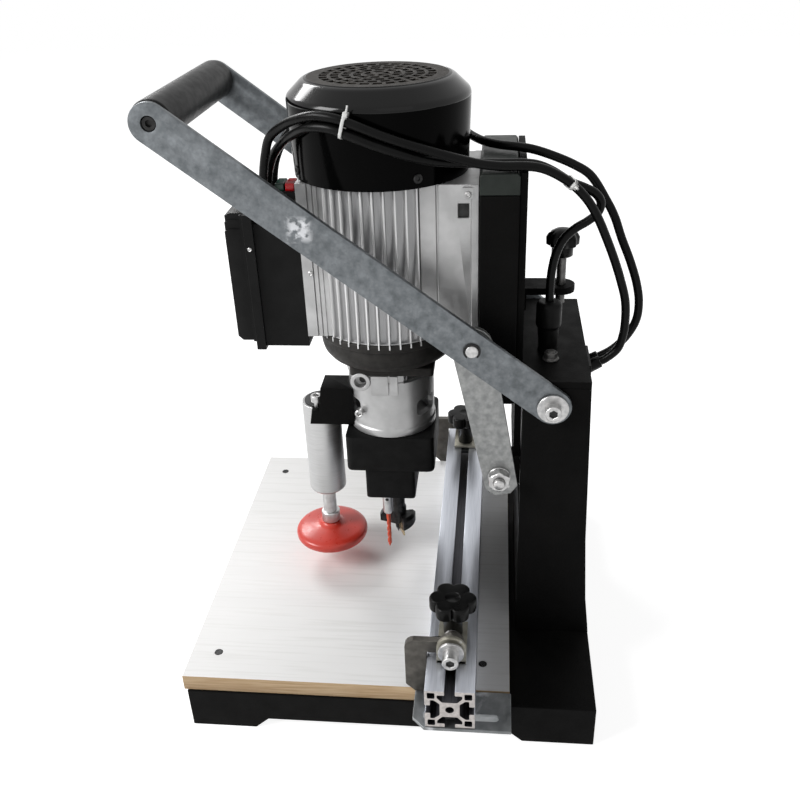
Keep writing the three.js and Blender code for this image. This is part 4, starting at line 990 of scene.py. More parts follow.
def thread(name, radius, low, high, place):
    """A rod with the look of a screw thread: rings at the thread's pitch."""
    root = radius - THREAD_DEPTH
    rings = [(0, low), (root, low)]
    for i in range(max(1, int((high - low - PITCH) / PITCH))):
        z = low + PITCH * (i + 0.5)
        rings += [(radius, z), (root, z + PITCH / 2)]
    rings += [(root, high - PITCH / 3), (root - THREAD_DEPTH, high), (0, high)]
    return turned(name, rings, place, SMALL // 2, angle=80)


def pin(name, radius, length, place, edge=0.5):
    return lathe(name, rod(radius, 0, length), place, edge=edge)


def clip(name, radius, hole, thickness, place):
    """A retaining ring with its opening towards its own -Y."""
    start, end = -90 + CLIP.gap / 2, 270 - CLIP.gap / 2
    outline = arc(0, 0, radius, start, end)
    outline += arc(0, 0, hole, end - CLIP.ends, start + CLIP.ends)
    return plate(name, outline, 0, thickness, place=place, bevel=CLIP.bevel)


def stack(node, rows, place, body, stands_for=()):
    """Bright hardware in a row on one axis. Its first piece stands for the CAD nodes, if any.
    A row is a name, the function that makes it, its sizes and its reach along the axis."""
    for name, make, sizes, reach in rows:
        made = make(node + "." + name, *sizes, place(reach))
        dress(made, BOLT, body, *stands_for)
        stands_for = ()


# Fan cover: a deep-drawn gloss cap with a vent grille in its top

GRILLE = Sizes(rows=5, first=4.0, pitch=8.8, bar=2.7, spacing=9.8, radius=55.2, sunk=0.05,
               bevel=0.3, screen=4.0, screen_thickness=1)
SPOKE = Sizes(sunk=0.1, bevel=0.2)
COVER = Sizes(skirt=70.0, flare=0.6, flare_rise=20, shoulder=71.8, shoulder_drop=12.6,
              shoulder_height=6, brow=59.5, brow_drop=1.2, crown=54.8, wall=2.0, skin=0.08)
COVER_SCREWS = Sizes(count=4, first=29, rise=7.5, sunk=0.2)


def vent_web(name, low, high):
    """Rings and short spokes that leave rows of square vents."""
    bar, bevel = GRILLE.bar, GRILLE.bevel
    edges = [GRILLE.first + row * GRILLE.pitch for row in range(GRILLE.rows + 1)]
    hub = circle(0, 0, edges[0], ROUND)
    parts = [plate("hub", hub, low, high, place=ON_AXIS, bevel=bevel)]
    for row, inner in enumerate(edges[:-1]):
        outer = inner + GRILLE.pitch - bar
        rim = GRILLE.radius if row == GRILLE.rows - 1 else outer + bar
        rings = [(outer, low), (rim, low), (rim, high - bevel), (rim - bevel, high),
                 (outer + bevel, high), (outer, high - bevel)]
        parts.append(turned("ring", rings, ON_AXIS, 2 * ROUND, closed=True, angle=40))
        spoke = rectangle(inner - bar / 2, outer + bar / 2, -bar / 2, bar / 2)
        count = round(math.pi * (inner + outer) / GRILLE.spacing)
        for i in range(count):
            turn = ON_AXIS @ Matrix.Rotation(TAU * (i + row % 2 / 2) / count, 4, "Z")
            parts.append(plate("spoke", spoke, low + SPOKE.sunk, high - SPOKE.sunk, place=turn,
                               bevel=SPOKE.bevel))
    return together(name, *parts)


def make_fan_cover():
    box = extent("fan_cover")
    low, high = box.z0, box.z1
    wall, skin = COVER.wall, COVER.skin
    shoulder = high - COVER.shoulder_drop
    outside = [
        (COVER.skirt, low), (COVER.skirt + COVER.flare, low + COVER.flare_rise),
        (COVER.shoulder, shoulder - COVER.shoulder_height), (COVER.shoulder, shoulder),
        (COVER.brow, high - COVER.brow_drop), (COVER.crown, high), (GRILLE.radius, high),
    ]
    inside = [
        (r - (wall if z < high - wall else 0), z - (wall if z > low else 0)) for r, z in outside
    ]
    outline = rounded(outside, 5, steps=8) + rounded(inside[::-1], 4, steps=6)
    slope = rounded(outside[2:6], 5, steps=8)[1:-1]
    ring = [(r + skin, z + skin) for r, z in slope] + [(r - skin, z - skin) for r, z in slope[::-1]]
    shell = turned("fan_cover.shell", outline, ON_AXIS, 2 * ROUND, closed=True, angle=60)
    dress(shell, GLOSS, "head", "fan_cover")
    polished = turned("fan_cover.shoulder", ring, ON_AXIS, 2 * ROUND, closed=True, angle=60)
    dress(polished, POLISHED_BLACK, "head")
    grille = vent_web("fan_cover.grille", high - wall, high - GRILLE.sunk)
    dress(grille, GRILLE_BLACK, "head")
    # Painted shade: a matte near-black disc under the grille, so that the vents look dark inside.
    floor = high - wall - GRILLE.screen
    screen = rod(GRILLE.radius, floor, floor + GRILLE.screen_thickness)
    dress(lathe("fan_cover.screen", screen, ON_AXIS, edge=0.2), SHADE, "head")
    seat = at(COVER.skirt - COVER_SCREWS.sunk, 0, low + COVER_SCREWS.rise, "X")
    for i in range(COVER_SCREWS.count):
        turn = about_z(COVER_SCREWS.first + i * 360 / COVER_SCREWS.count)
        screw = socket_screw("fan_cover.screw_%d" % i, "cover", ON_AXIS @ turn @ seat)
        dress(screw, BLACK_BOLT, "head", slot="gloss_black")


# Motor body with its cast fins and the pedestal of the junction box, its foot, and the bell

FINS_SIZES = Sizes(count=44, root=58.6, tip=62.0)
FIN_SECTION_SHARES = [
    (0.0, 0.12), (0.25, 0.0), (0.5, 0.06), (0.68, 0.3), (0.76, 0.95), (0.80, 1.0), (0.90, 1.0),
    (0.94, 0.9), (0.97, 0.25),
]
RIB_SECTION_SHARES = [(0.0, 0.0), (0.77, 0.0), (0.78, 1.0), (0.90, 1.0), (0.91, 0.0)]
RIB = Sizes(root=60.0, tip=62.6, drop=3.6, overlap=0.5)
MOTOR_TOP = 451.7
SHIELD = Sizes(radius=67.4, rise=0.3)
PEDESTAL_SIDE = [
    (44, -67.5), (44, -59), (42.8, -58.6), (43.6, -58), (43.6, -55), (42.8, -54.6), (43.6, -54),
    (43.6, -51), (42.8, -50.6), (43, -46),
]
PEDESTAL_SCREWS = [(44, -61, 425), (44, -61, 378)]
FOOT_SIDE = [(50, 44), (50, 43), (49.2, 42.2), (50.2, 41.4), (51, 29.5), (49.5, 28)]
FOOT_NOTCH = Sizes(x=(46, 48.5), y=(58.7, 67), drops=(26, 15))
FOOT_LUG = Sizes(x=(50, 52.5), y=(62, 70.5), drops=(11, 2))
FOOT_SCREW = Sizes(x=52.5, y=66.2, drop=7)
BELL_OUTLINE = [(0, 0), (46, 1.2), (54, 4.7), (58, 10.2), (59.3, 16.2)]
BELL_RIM = [(59.3, -7), (62, -7), (62, 0), (0, 0)]
BELL_FLANGE = Sizes(x=(-40, 40), y=(-36, 36.5), drop=6.8, rise=1)


def toothed(sections, root, tip):
    """An outline round the head's axis that repeats one section."""
    made = []
    for tooth in range(FINS_SIZES.count):
        for share, rise in sections:
            a = TAU * (tooth + share) / FINS_SIZES.count
            r = root + (tip - root) * rise
            made.append((r * math.cos(a), r * math.sin(a)))
    return made


def mirrored(side):
    return side + [(-x, y) for x, y in reversed(side)]


def hung(level, drops):
    return [level - drop for drop in drops]


def make_motor():
    box = extent("motor_body")
    rim = toothed(FIN_SECTION_SHARES, FINS_SIZES.root, FINS_SIZES.tip)
    fins = plate("motor_body.fins", rim, box.z0, MOTOR_TOP, place=ON_AXIS, bevel=0.15, angle=40)
    dress(fins, FINS, "head", "motor_body")
    ticks = toothed(RIB_SECTION_SHARES, RIB.root, RIB.tip)
    ribs = plate("motor_body.ribs", ticks, box.z0 - RIB.drop, box.z0 + RIB.overlap, place=ON_AXIS,
                 bevel=0.1)
    dress(ribs, FINS, "head")
    seat = mirrored(PEDESTAL_SIDE)
    pedestal = plate("motor_body.pedestal", seat, box.z0, MOTOR_TOP, bevel=0.25)
    dress(pedestal, CASTING, "head")
    for i, place in enumerate(PEDESTAL_SCREWS):
        screw = socket_screw("motor_body.screw_%d" % i, "pedestal", at(*place, "X"))
        dress(screw, BOLT, "head")
    neck = [(0, MOTOR_TOP), (SHIELD.radius, MOTOR_TOP + SHIELD.rise), (SHIELD.radius, box.z1),
            (0, box.z1)]
    dress(lathe("motor_body.shield", neck, ON_AXIS), CASTING, "head")
    foot = extent("motor_foot")
    front = plate("motor_foot.front", mirrored(FOOT_SIDE), foot.z0, foot.z1, bevel=0.3)
    dress(front, CASTING, "head")
    notch = block("motor_foot.notch", FOOT_NOTCH.x, FOOT_NOTCH.y, hung(foot.z1, FOOT_NOTCH.drops))
    dress(notch, BLACK_BOLT, "head")
    lug = block("motor_foot.lug", FOOT_LUG.x, FOOT_LUG.y, hung(foot.z1, FOOT_LUG.drops), bevel=0.5)
    dress(lug, CASTING, "head")
    seat = at(FOOT_SCREW.x, FOOT_SCREW.y, foot.z1 - FOOT_SCREW.drop, "X")
    dress(socket_screw("motor_foot.screw", "foot", seat), BOLT, "head")
    bell = extent("motor_end_bell")
    outline = raised(BELL_OUTLINE, bell.z0) + raised(BELL_RIM, bell.z1)
    made = lathe("motor_end_bell.cast", outline, ON_AXIS, edge=1.6)
    dress(made, CASTIRON, "head", "motor_end_bell")
    flange = block("motor_end_bell.flange", BELL_FLANGE.x, BELL_FLANGE.y,
                   (bell.z0 - BELL_FLANGE.drop, bell.z0 + BELL_FLANGE.rise), corner=5)
    dress(flange, CASTIRON, "head")


# Bearing housing and gear head

HOUSING = Sizes(radius=39.5, waist=38.3, wall=6.0, floor=5.0, flange=6.0, bore=9.0, under_bell=6.8)
HOUSING_FOOT = [(HOUSING.bore, 0), (HOUSING.radius, 0), (HOUSING.radius, 6), (HOUSING.waist, 7.5)]
HOUSING_HEAD = [(HOUSING.waist, -8), (HOUSING.radius, -7), (HOUSING.radius, 0), (HOUSING.bore, 0)]
WINDOW = Sizes(half=12.5, rise=16.3, height=15.4, corner=4.5, turns=(60, 120, 240, 300))
CLAMP = Sizes(y=(-17.5, 5.5), low=264.0, out=40.8, slot=(-2.8, -1.2))
CLAMP_BOSS = Sizes(y=-26.8, z=276.8, radius=8.6, hole=5.2, out=40.5, depth=7.0)
CLAMP_ROOM = Sizes(y=(10.3, 30.8), z=(273.6, 281.8))
BOSS_PLUG = Sizes(radius=3.2, height=1, off=1.6)
HOUSING_SCREW = (31, -30.5, 243)
CUT_MARGIN = 5
NOSE = Sizes(x=(-38, 38), y=(-28.2, 17.2), top=185.0, overlap=0.5)


def make_gear_head():
    box = extent("bearing_housing")
    low, high = box.z0, box.z1 - HOUSING.under_bell
    r, hollow = HOUSING.radius, HOUSING.radius - HOUSING.wall
    roof, floor = high - HOUSING.flange, low + HOUSING.floor
    inside = [(HOUSING.bore, roof), (hollow, roof), (hollow, floor), (HOUSING.bore, floor)]
    outline = raised(HOUSING_FOOT, low) + raised(HOUSING_HEAD, high) + inside
    shell = lathe("bearing_housing.cast", outline, ON_AXIS, edge=0.8, closed=True)
    sill = low + WINDOW.rise
    opening = rectangle(-WINDOW.half, WINDOW.half, sill, sill + WINDOW.height)
    window = rounded(opening, WINDOW.corner, closed=True)
    cuts = [
        plate("cut", window, r / 2, r + CUT_MARGIN, plane="X", place=ON_AXIS @ about_z(turn), bevel=0)
        for turn in WINDOW.turns
    ]
    cuts.append(block("cut", (r / 3, r + CUT_MARGIN), CLAMP_ROOM.y, CLAMP_ROOM.z, bevel=0))
    dress(cut(shell, *cuts), CASTING, "head", "bearing_housing")
    lug = block("bearing_housing.clamp", (hollow, CLAMP.out), CLAMP.y, (CLAMP.low, high), bevel=0.5)
    slot = block("cut", (hollow - 1, r + CUT_MARGIN), CLAMP.slot, (CLAMP.low - 1, high + 1), bevel=0)
    dress(cut(lug, slot), CASTING, "head")
    boss = CLAMP_BOSS
    seat = boss.out - boss.depth
    ring = [(0, seat), (boss.hole, seat), (boss.hole, boss.out), (boss.radius, boss.out),
            (boss.radius, r / 2), (0, r / 2)]
    eye = lathe("bearing_housing.eye", ring, at(0, boss.y, boss.z, "X"), edge=0.6)
    dress(eye, CASTING, "head")
    plug = pin("bearing_housing.plug", BOSS_PLUG.radius, BOSS_PLUG.height,
               at(seat, boss.y + BOSS_PLUG.off, boss.z, "X"), edge=0.2)
    dress(plug, BLACK_BOLT, "head")
    screw = socket_screw("bearing_housing.screw", "housing", at(*HOUSING_SCREW, "X"))
    dress(screw, BOLT, "head")
    gear = extent("gear_head")
    case = block("gear_head.case", (gear.x0, gear.x1), (gear.y0, gear.y1), (NOSE.top, gear.z1),
                 bevel=1.2, corner=7)
    dress(case, CRINKLE, "head", "gear_head")
    nose = block("gear_head.nose", NOSE.x, NOSE.y, (gear.z0, NOSE.top + NOSE.overlap), bevel=0.9,
                 corner=4)
    dress(nose, CRINKLE, "head")


# Spindles and their bits

SPINDLE = Sizes(radius=6.5, coupling=14.0, coupling_low=236.0)
COLLAR = rod(9.5, 139.0, 153.6)
HUB = [
    (2.6, 94), (2.6, 99), (7.6, 102), (8.6, 110), (8.6, 117.5), (7.4, 120.5), (7.4, 132.5),
    (0, 132.5),
]
WING = Sizes(radius=17.4, inner=2.0, high=112.0, chamfer=2.6, tip_low=93.0, rim_low=99.5,
             relief=3.5, start=25, span=78, steps=14)
BLADE = Sizes(inner=1.2, outer=15.5, low=92.6, high=105.5, thickness=1.5)
HOLDER = Sizes(low=127.5, tip=3.2, radius=4.8, chamfer=2.2, high=153.6, screw_drop=8, screw_sunk=0.4)
DRILL = Sizes(x=24.0, y=-10.5, radius=2.0, lead=14.0, tip=4.6, blunt=0.05, plain=8, flute=0.42,
              steps=60, sides=24)


def wing(name, spin, place):
    """A cutting wing: a turned step whose underside rises behind its edge and towards its rim."""
    rows = []
    for i in range(WING.steps + 1):
        t = i / WING.steps
        a = math.radians(spin + WING.start + WING.span * t)
        lift = WING.relief * t
        section = [
            (WING.inner, WING.tip_low + lift), (WING.radius, WING.rim_low + lift),
            (WING.radius, WING.high - WING.chamfer), (WING.radius - WING.chamfer, WING.high),
            (WING.inner, WING.high),
        ]
        rows.append([(r * math.cos(a), r * math.sin(a), z) for r, z in section])
    return banded(name, rows, len(section), True, place)


def twist_drill(name, low, high, place):
    """A two-flute drill whose point is at its low end."""
    rows = []
    for i in range(DRILL.steps + 1):
        z = low + (high - low) * i / DRILL.steps
        rise = min(1.0, (z - low + DRILL.blunt) / DRILL.tip)
        twist = TAU * (z - low) / DRILL.lead
        flute = DRILL.flute if z < high - DRILL.plain else 0
        row = []
        for j in range(DRILL.sides):
            a = TAU * j / DRILL.sides
            r = DRILL.radius * rise * (1 - flute * max(0.0, math.cos(2 * a)) ** 2)
            row.append((r * math.cos(a + twist), r * math.sin(a + twist), z))
        rows.append(row)
    return banded(name, rows, DRILL.sides, True, place, 50)


def make_tools():
    spindle = extent("cup_spindle")
    outline = [(0, spindle.z0), (SPINDLE.radius, spindle.z0), (SPINDLE.radius, SPINDLE.coupling_low)]
    outline += rod(SPINDLE.coupling, SPINDLE.coupling_low, spindle.z1)[1:]
    shaft = lathe("cup_spindle.turned", outline, ON_AXIS)
    dress(shaft, TOOL, "spindle", "cup_spindle", slot="bright_steel")
    collar = lathe("cup_spindle.collar", COLLAR, ON_AXIS, edge=1)
    dress(collar, TOOL, "spindle")
    hub = [(0, extent("cup_bit").z0), *HUB]
    dress(lathe("cup_bit.hub", hub, ON_AXIS, edge=0.3), TOOL, "spindle", "cup_bit")
    for i, spin in enumerate((0, 180)):
        dress(wing("cup_bit.wing_%d" % i, spin, ON_AXIS), TOOL, "spindle")
        flat = rectangle(BLADE.inner, BLADE.outer, BLADE.low, BLADE.high)
        blade = plate("cup_bit.blade_%d" % i, flat, 0, BLADE.thickness, plane="Y",
                      place=ON_AXIS @ about_z(spin + WING.start), bevel=0.15)
        dress(blade, CARBIDE, "spindle")
    holder = [(0, HOLDER.low), (HOLDER.tip, HOLDER.low)]
    holder += rod(HOLDER.radius, HOLDER.low + HOLDER.chamfer, HOLDER.high)[1:]
    seat = at(HOLDER.radius - HOLDER.screw_sunk, 0, HOLDER.high - HOLDER.screw_drop, "X")
    for side, material in (("right", RED_DRILL), ("left", TOOL)):
        body = side + "_drill"
        node = "side_spindle_" + side
        here = at(SIDES[side] * DRILL.x, DRILL.y, 0)
        made = lathe(node + ".holder", holder, here, edge=0.8)
        dress(made, STEEL, body, node, slot="tool_steel")
        clamp = socket_screw(node + ".screw", "drill", here @ seat)
        dress(clamp, BLACK_BOLT, body)
        drill = twist_drill(node + ".drill", extent(node).z0, HOLDER.low + 1, here)
        dress(drill, material, body)


# Hold-down: bracket block with its clamp screw, cylinder, stem and pad

BRACKET = Sizes(nose=-78.5, slope=-76, step=-69, brow=-66.5, rear=-30, step_rise=14.2, x=(-5, 22))
BRACKET_TRIM = Sizes(radius=39.8, margin=5)
BRACKET_SCREW = Sizes(x=14, y=-72.5, shank_radius=2.5, shank=8, shank_rise=13.2, rise=20.2)
PRESS_Y = -71.5
CAP = Sizes(radius=15.0, height=1.2)
PAD_OUTLINE = [
    (0, 0), (31, 0), (34.5, 1.5), (35.5, 5), (35, 8.5), (31, 11), (22, 13), (13, 14.5), (10, 16.5),
]
PAD_NECK = 9.5
STEM_COLLAR = [(0, 0), (8.2, 0), (9, 0.8), (9, 10.9), (8.2, 11.7), (6.5, 11.9)]
STEM = Sizes(radius=6.5, shoulder=147, head=11.7, head_low=148)


def make_hold_down():
    box = extent("press_bracket")
    low, high = box.z0, box.z1
    step = low + BRACKET.step_rise
    outline = [(BRACKET.nose, low), (BRACKET.slope, step), (BRACKET.step, step),
               (BRACKET.brow, high), (BRACKET.rear, high), (BRACKET.rear, low)]
    body = plate("press_bracket.block", outline, *BRACKET.x, plane="X", bevel=0.6)
    margin = BRACKET_TRIM.margin
    trim = turned("trim", rod(BRACKET_TRIM.radius, low - margin, high + margin), ON_AXIS)
    dress(cut(body, trim), PAINT, "head", "press_bracket")
    bolt = BRACKET_SCREW
    shank = pin("press_bracket.shank", bolt.shank_radius, bolt.shank,
                at(bolt.x, bolt.y, low + bolt.shank_rise), edge=0.2)
    dress(shank, BOLT, "head", slot="tool_steel")
    screw = socket_screw("press_bracket.screw", "press", at(bolt.x, bolt.y, low + bolt.rise))
    dress(screw, BOLT, "head", slot="tool_steel")
    place = at(0, PRESS_Y, 0)
    top = extent("press_cylinder").z1
    lid = lathe("press_cylinder.cap", rod(CAP.radius, top, top + CAP.height), place)
    dress(lid, BLACK_BOLT, "head")
    pad = extent("press_pad")
    sole = raised(PAD_OUTLINE, pad.z0) + [(PAD_NECK, pad.z1), (0, pad.z1)]
    made = lathe("press_pad.cup", sole, place, edge=3, angle=60)
    dress(made, PAD, "press_foot", "press_pad")
    stem = extent("press_stem")
    column = raised(STEM_COLLAR, stem.z0)
    column += [(STEM.radius, STEM.shoulder), *rod(STEM.head, STEM.head_low, stem.z1)[1:]]
    made = lathe("press_stem.turned", column, place, edge=0.3)
    dress(made, STEEL, "press_foot", "press_stem")


# Lever with its grip, pins and clips, and the bolts that it turns on

PIVOT = (134.7, 282.5)
LEVER_ANGLE = 37.6
LEVER = Sizes(length=369.5, half_width=15.0, x=(84.5, 89.5), pivot_hole=6.4, rod_hole=5.7)
LEVER_PIN = Sizes(reach=81.1, radius=5, inner=77.0, outer=92.0)
LEVER_CLIP = Sizes(radius=6.9, hole=4.8, thickness=0.9, x=90.0)
GRIP_SIZES = Sizes(bore=5.8, rim=15, radius=16, lip=1.4)
HANDLE = Sizes(radius=5.4, edge=0.5, socket=2.4, socket_depth=2.5)
PIVOT_STACK = [
    ("washer", washer, (12.5, 5.5, 2.5), 89.9),
    ("head", socket_screw, ("pivot",), 92.4),
    ("shank", pin, (6, 17), 75.7),
    ("nut", nut, (8.2, 5, 5.5), 75.7),
]
PIVOT_FILL = Sizes(height=2.0, reach=97.0)
STUD_STACK = [
    ("stud", thread, (5, 0, 35.3), 62),
    ("washer", washer, (9.4, 5, 2), 83.3),
    ("nut", nut, (8.5, 8, 4.6), 85.3),
]


def on_lever(along, off=0.0):
    """A place on the lever's flat, from its pivot towards the grip."""
    a = math.radians(LEVER_ANGLE)
    y = PIVOT[0] - along * math.cos(a) + off * math.sin(a)
    z = PIVOT[1] + along * math.sin(a) + off * math.cos(a)
    return y, z


def make_lever():
    half, length = LEVER.half_width, LEVER.length
    bar = arc(0, 0, half, -90, 90) + arc(-length, 0, half, 90, 270)
    outline = [on_lever(-u, v) for u, v in bar]
    holes = [circle(*on_lever(0), LEVER.pivot_hole), circle(*on_lever(length), LEVER.rod_hole)]
    pin_place = on_lever(LEVER_PIN.reach)
    for side, sign in SIDES.items():
        low, high = sorted(sign * x for x in LEVER.x)
        node = "lever_arm_" + side
        arm = plate(node + ".bar", outline, low, high, plane="X", holes=holes, bevel=0.5)
        dress(arm, LEVER_ZINC, "lever", node)
        run = rod(LEVER_PIN.radius, LEVER_PIN.inner, LEVER_PIN.outer)
        axle = lathe(node + ".pin", run, outward(sign, 0, *pin_place), edge=0.8)
        dress(axle, BOLT, "lever")
        ring = clip(node + ".clip", LEVER_CLIP.radius, LEVER_CLIP.hole, LEVER_CLIP.thickness,
                    outward(sign, LEVER_CLIP.x, *pin_place, sign * 90))
        dress(ring, BLACK_BOLT, "lever")
    place = at(0, *on_lever(length), "X")
    grip = GRIP_SIZES
    reach = extent("handle_grip").x1
    sleeve = [(grip.bore, -reach), (grip.rim, -reach), (grip.radius, grip.lip - reach),
              (grip.radius, reach - grip.lip), (grip.rim, reach), (grip.bore, reach)]
    made = lathe("handle_grip.sleeve", sleeve, place, edge=1.2, closed=True)
    dress(made, GRIP, "lever", "handle_grip")
    end = extent("handle_rod").x1
    floor, rim = end - HANDLE.socket_depth, HANDLE.radius - HANDLE.edge
    half = [(HANDLE.radius, end - HANDLE.edge), (rim, end), (HANDLE.socket, end, hexagon),
            (HANDLE.socket, floor, hexagon), (0, floor)]
    rings = [(r, -x, *form) for r, x, *form in half[::-1]] + half
    bar = turned("handle_rod.bar", rings, place, SMALL)
    dress(bar, BLACK_BOLT, "lever", "handle_rod", slot="bright_steel")


def make_pivots():
    for side, sign in SIDES.items():
        node = "lever_pivot_bolt_" + side
        here = lambda x: outward(sign, x, *PIVOT)
        stack(node, PIVOT_STACK, here, "root", [node])
        # Painted shade in the socket of the pivot bolt's head.
        fill = socket_shade(node + ".socket", "pivot", PIVOT_FILL.height, here(PIVOT_FILL.reach))
        dress(fill, BLACK_BOLT, "root")
        node = "link_stud_" + side
        box = extent(node)
        stack(node, STUD_STACK, lambda x: outward(sign, x, box.y, box.z), "head", [node])


# Knobs. The radii of a star knob's lobes are given from its reach, their heights from its seat
# or its top.

STAR = Sizes(lobes=6, depth=0.24, roundness=0.7, height=12)
STAR_FOOT = [(0, 0), (7.6, 0), (8, 0.5)]
STAR_NECK = [(8, -1), (9, 0)]
STAR_UNDERSIDE = [(-2, 0), (-0.3, 0.7), (0, 2)]
STAR_TOP = [(0, -1.6), (-0.4, -0.6), (-1.4, -0.1), (-2.4, 0)]
STAR_DISH = [(6.5, 0), (6, -0.6), (0, -0.8)]
GROOVES = Sizes(count=8, depth=0.07)


def star(angle):
    """Broad lobes with narrow valleys, one lobe along +Y."""
    wave = abs(math.cos(STAR.lobes / 2 * (angle - TAU / 4))) ** STAR.roundness
    return 1 - STAR.depth + STAR.depth * wave


def grooved(angle):
    return 1 + GROOVES.depth * math.cos(GROOVES.count * angle)


STOP_KNOB_OUTLINE = [
    (0, 0), (8.5, 0), (9, 0.5), (9, 8.6), (11.5, 9, grooved), (12.8, 10, grooved),
    (13, 16, grooved), (11.4, 19, grooved),
]
STOP_KNOB_TOP = [(7, -1), (3, 0), (0, 0)]
STOP_ROD_RADIUS = 4


def make_knobs():
    for side in SIDES:
        node = "star_knob_" + side
        box = extent(node)
        seat = box.z1 - STAR.height
        reach = (box.y1 - box.y0) / 2
        under = [(reach + r, seat + z, star) for r, z in STAR_UNDERSIDE]
        over = [(reach + r, box.z1 + z, star) for r, z in STAR_TOP]
        rings = raised(STAR_FOOT, box.z0) + raised(STAR_NECK, seat) + under + over
        rings += raised(STAR_DISH, box.z1)
        made = turned(node + ".lobes", rings, at(box.x, box.y, 0), 2 * ROUND, angle=50)
        dress(made, KNOB, side + "_knob", node)
    box = extent("depth_stop_knob")
    rings = raised(STOP_KNOB_OUTLINE, box.z0) + raised(STOP_KNOB_TOP, box.z1)
    place = at(box.x, box.y, 0)
    made = turned("depth_stop_knob.lobes", rings, place, ROUND, angle=50)
    dress(made, KNOB, "depth_stop", "depth_stop_knob")
    run = extent("depth_stop_rod")
    made = thread("depth_stop_rod.thread", STOP_ROD_RADIUS, run.z0, run.z1, place)
    dress(made, DULL_STEEL, "depth_stop", "depth_stop_rod")


# Fence bar and its stops

FENCE = Sizes(half=20.0, slot=4.1, lip=4.5, channel=10.0, shoulder=7.5, floor=6.0, depth=12.0,
              bore=3.4, cavity=3.0, inset=5.2, bolt_x=204, bolt_z=54.2)
QUARTERS = ((1, 0), (0, -1), (-1, 0), (0, 1))
STOP = Sizes(y=57.0, width=(140.0, 186.0), leg=(182.0, 186.0), low=98.1, depth=(45, 69),
             thickness=3, tab=12)
STOP_BOLT = Sizes(radius=4, low=92.8, high=121.1)
STOP_TEE = Sizes(half=7, z=(88.5, 93))
HINGE_Z = 112.8
HINGE_STACK = [
    ("pin", pin, (4, 22), 169),
    ("flange", washer, (6, 4, 3.7), 169.7),
    ("spacer", washer, (6.5, 4, 3), 186),
    ("washer", washer, (10.5, 4, 2), 189),
    ("head", socket_screw, ("stop",), 191),
]
HINGE_FILL = Sizes(height=1.8, reach=198.6)


def make_fence():
    box = extent("fence_profile")
    half = FENCE.half
    y, z = box.y, box.z1 - half
    lip, shoulder, floor = half - FENCE.lip, half - FENCE.shoulder, half - FENCE.depth
    edge = [(FENCE.floor, floor), (FENCE.channel, shoulder), (FENCE.channel, lip),
            (FENCE.slot, lip), (FENCE.slot, half)]
    one = [(-half, half), *[(-u, v) for u, v in edge[::-1]], *edge]
    outline = []
    for cosine, sine in QUARTERS:
        outline += [(u * cosine - v * sine, u * sine + v * cosine) for u, v in one]
    outline = [(y + u, z + v) for u, v in rounded(outline, 0.8, closed=True, steps=2)]
    inset = half - FENCE.inset
    holes = [circle(y, z, FENCE.bore)]
    for su in (1, -1):
        for sv in (1, -1):
            hollow = square(y + su * inset, z + sv * inset, FENCE.cavity)
            holes.append(rounded(hollow, 1.0, closed=True, steps=2))
    bar = plate("fence_profile.bar", outline, box.x0, box.x1, plane="X", holes=holes, bevel=0.25)
    dress(bar, EXTRUSION, "fence", "fence_profile")
    for side, sign in SIDES.items():
        seat = at(sign * FENCE.bolt_x, y, FENCE.bolt_z, "-Z")
        bolt = socket_screw("fence_profile.bolt_" + side, "fence", seat)
        dress(bolt, BOLT, "fence")


def make_stops():
    for side, sign in SIDES.items():
        node = "stop_carrier_" + side
        body = side + "_stop"
        width, leg = [sorted(sign * x for x in pair) for pair in (STOP.width, STOP.leg)]
        lying = block("foot", width, STOP.depth, (STOP.low, STOP.low + STOP.thickness))
        tab = arc(STOP.y, HINGE_Z, STOP.tab, 0, 180)
        standing = [(y, STOP.low) for y in STOP.depth] + tab
        angle = together(node + ".angle", lying, plate("leg", standing, *leg, plane="X"))
        dress(angle, CARRIER_ZINC, body, node)
        x = extent("star_knob_" + side).x
        place = at(x, STOP.y, 0)
        bolt = thread(node + ".bolt", STOP_BOLT.radius, STOP_BOLT.low, STOP_BOLT.high, place)
        dress(bolt, BOLT, body)
        foot = square(x, STOP.y, STOP_TEE.half)
        dress(plate(node + ".tee", foot, *STOP_TEE.z), ZINC, body, slot="bright_steel")
        here = lambda x: outward(sign, x, STOP.y, HINGE_Z)
        stack(node, HINGE_STACK, here, body)
        # Painted shade in the socket of the hinge screw's head.
        fill = socket_shade(node + ".socket", "stop", HINGE_FILL.height, here(HINGE_FILL.reach))
        dress(fill, BLACK_BOLT, body)


# The junction box's lid, screw and strain reliefs, and the cable boot

LID_STEPS = [(414, 0), (421, 2), (426, 4)]
LID_SETBACK_SHARE = 0.06
LID_CORNERS = Sizes(large=4, small=2)
LID_EDGE = Sizes(out=0.6, front=2.4, rear=0.2, low=1, high=0.4)
JUNCTION_SCREW = (43, -109, 398)
RELIEF_PLACES = [(24, -98.5, 422.3), (8, -98.5, 422.3), (-14, -98.5, 422.3)]
RELIEF_OUTLINE = [(3.6, 0), (5.4, 0), (5.4, 3), (4.7, 4.5), (4.1, 20), (3.6, 20)]
BOOT_FOOT = [(0, 0), (8.5, 0), (8.2, 1.5), (7.6, 4)]
BOOT_HEAD = [(9, -23), (10.5, -21), (10.5, -3), (9.4, -0.8), (7.5, 0), (0, 0)]


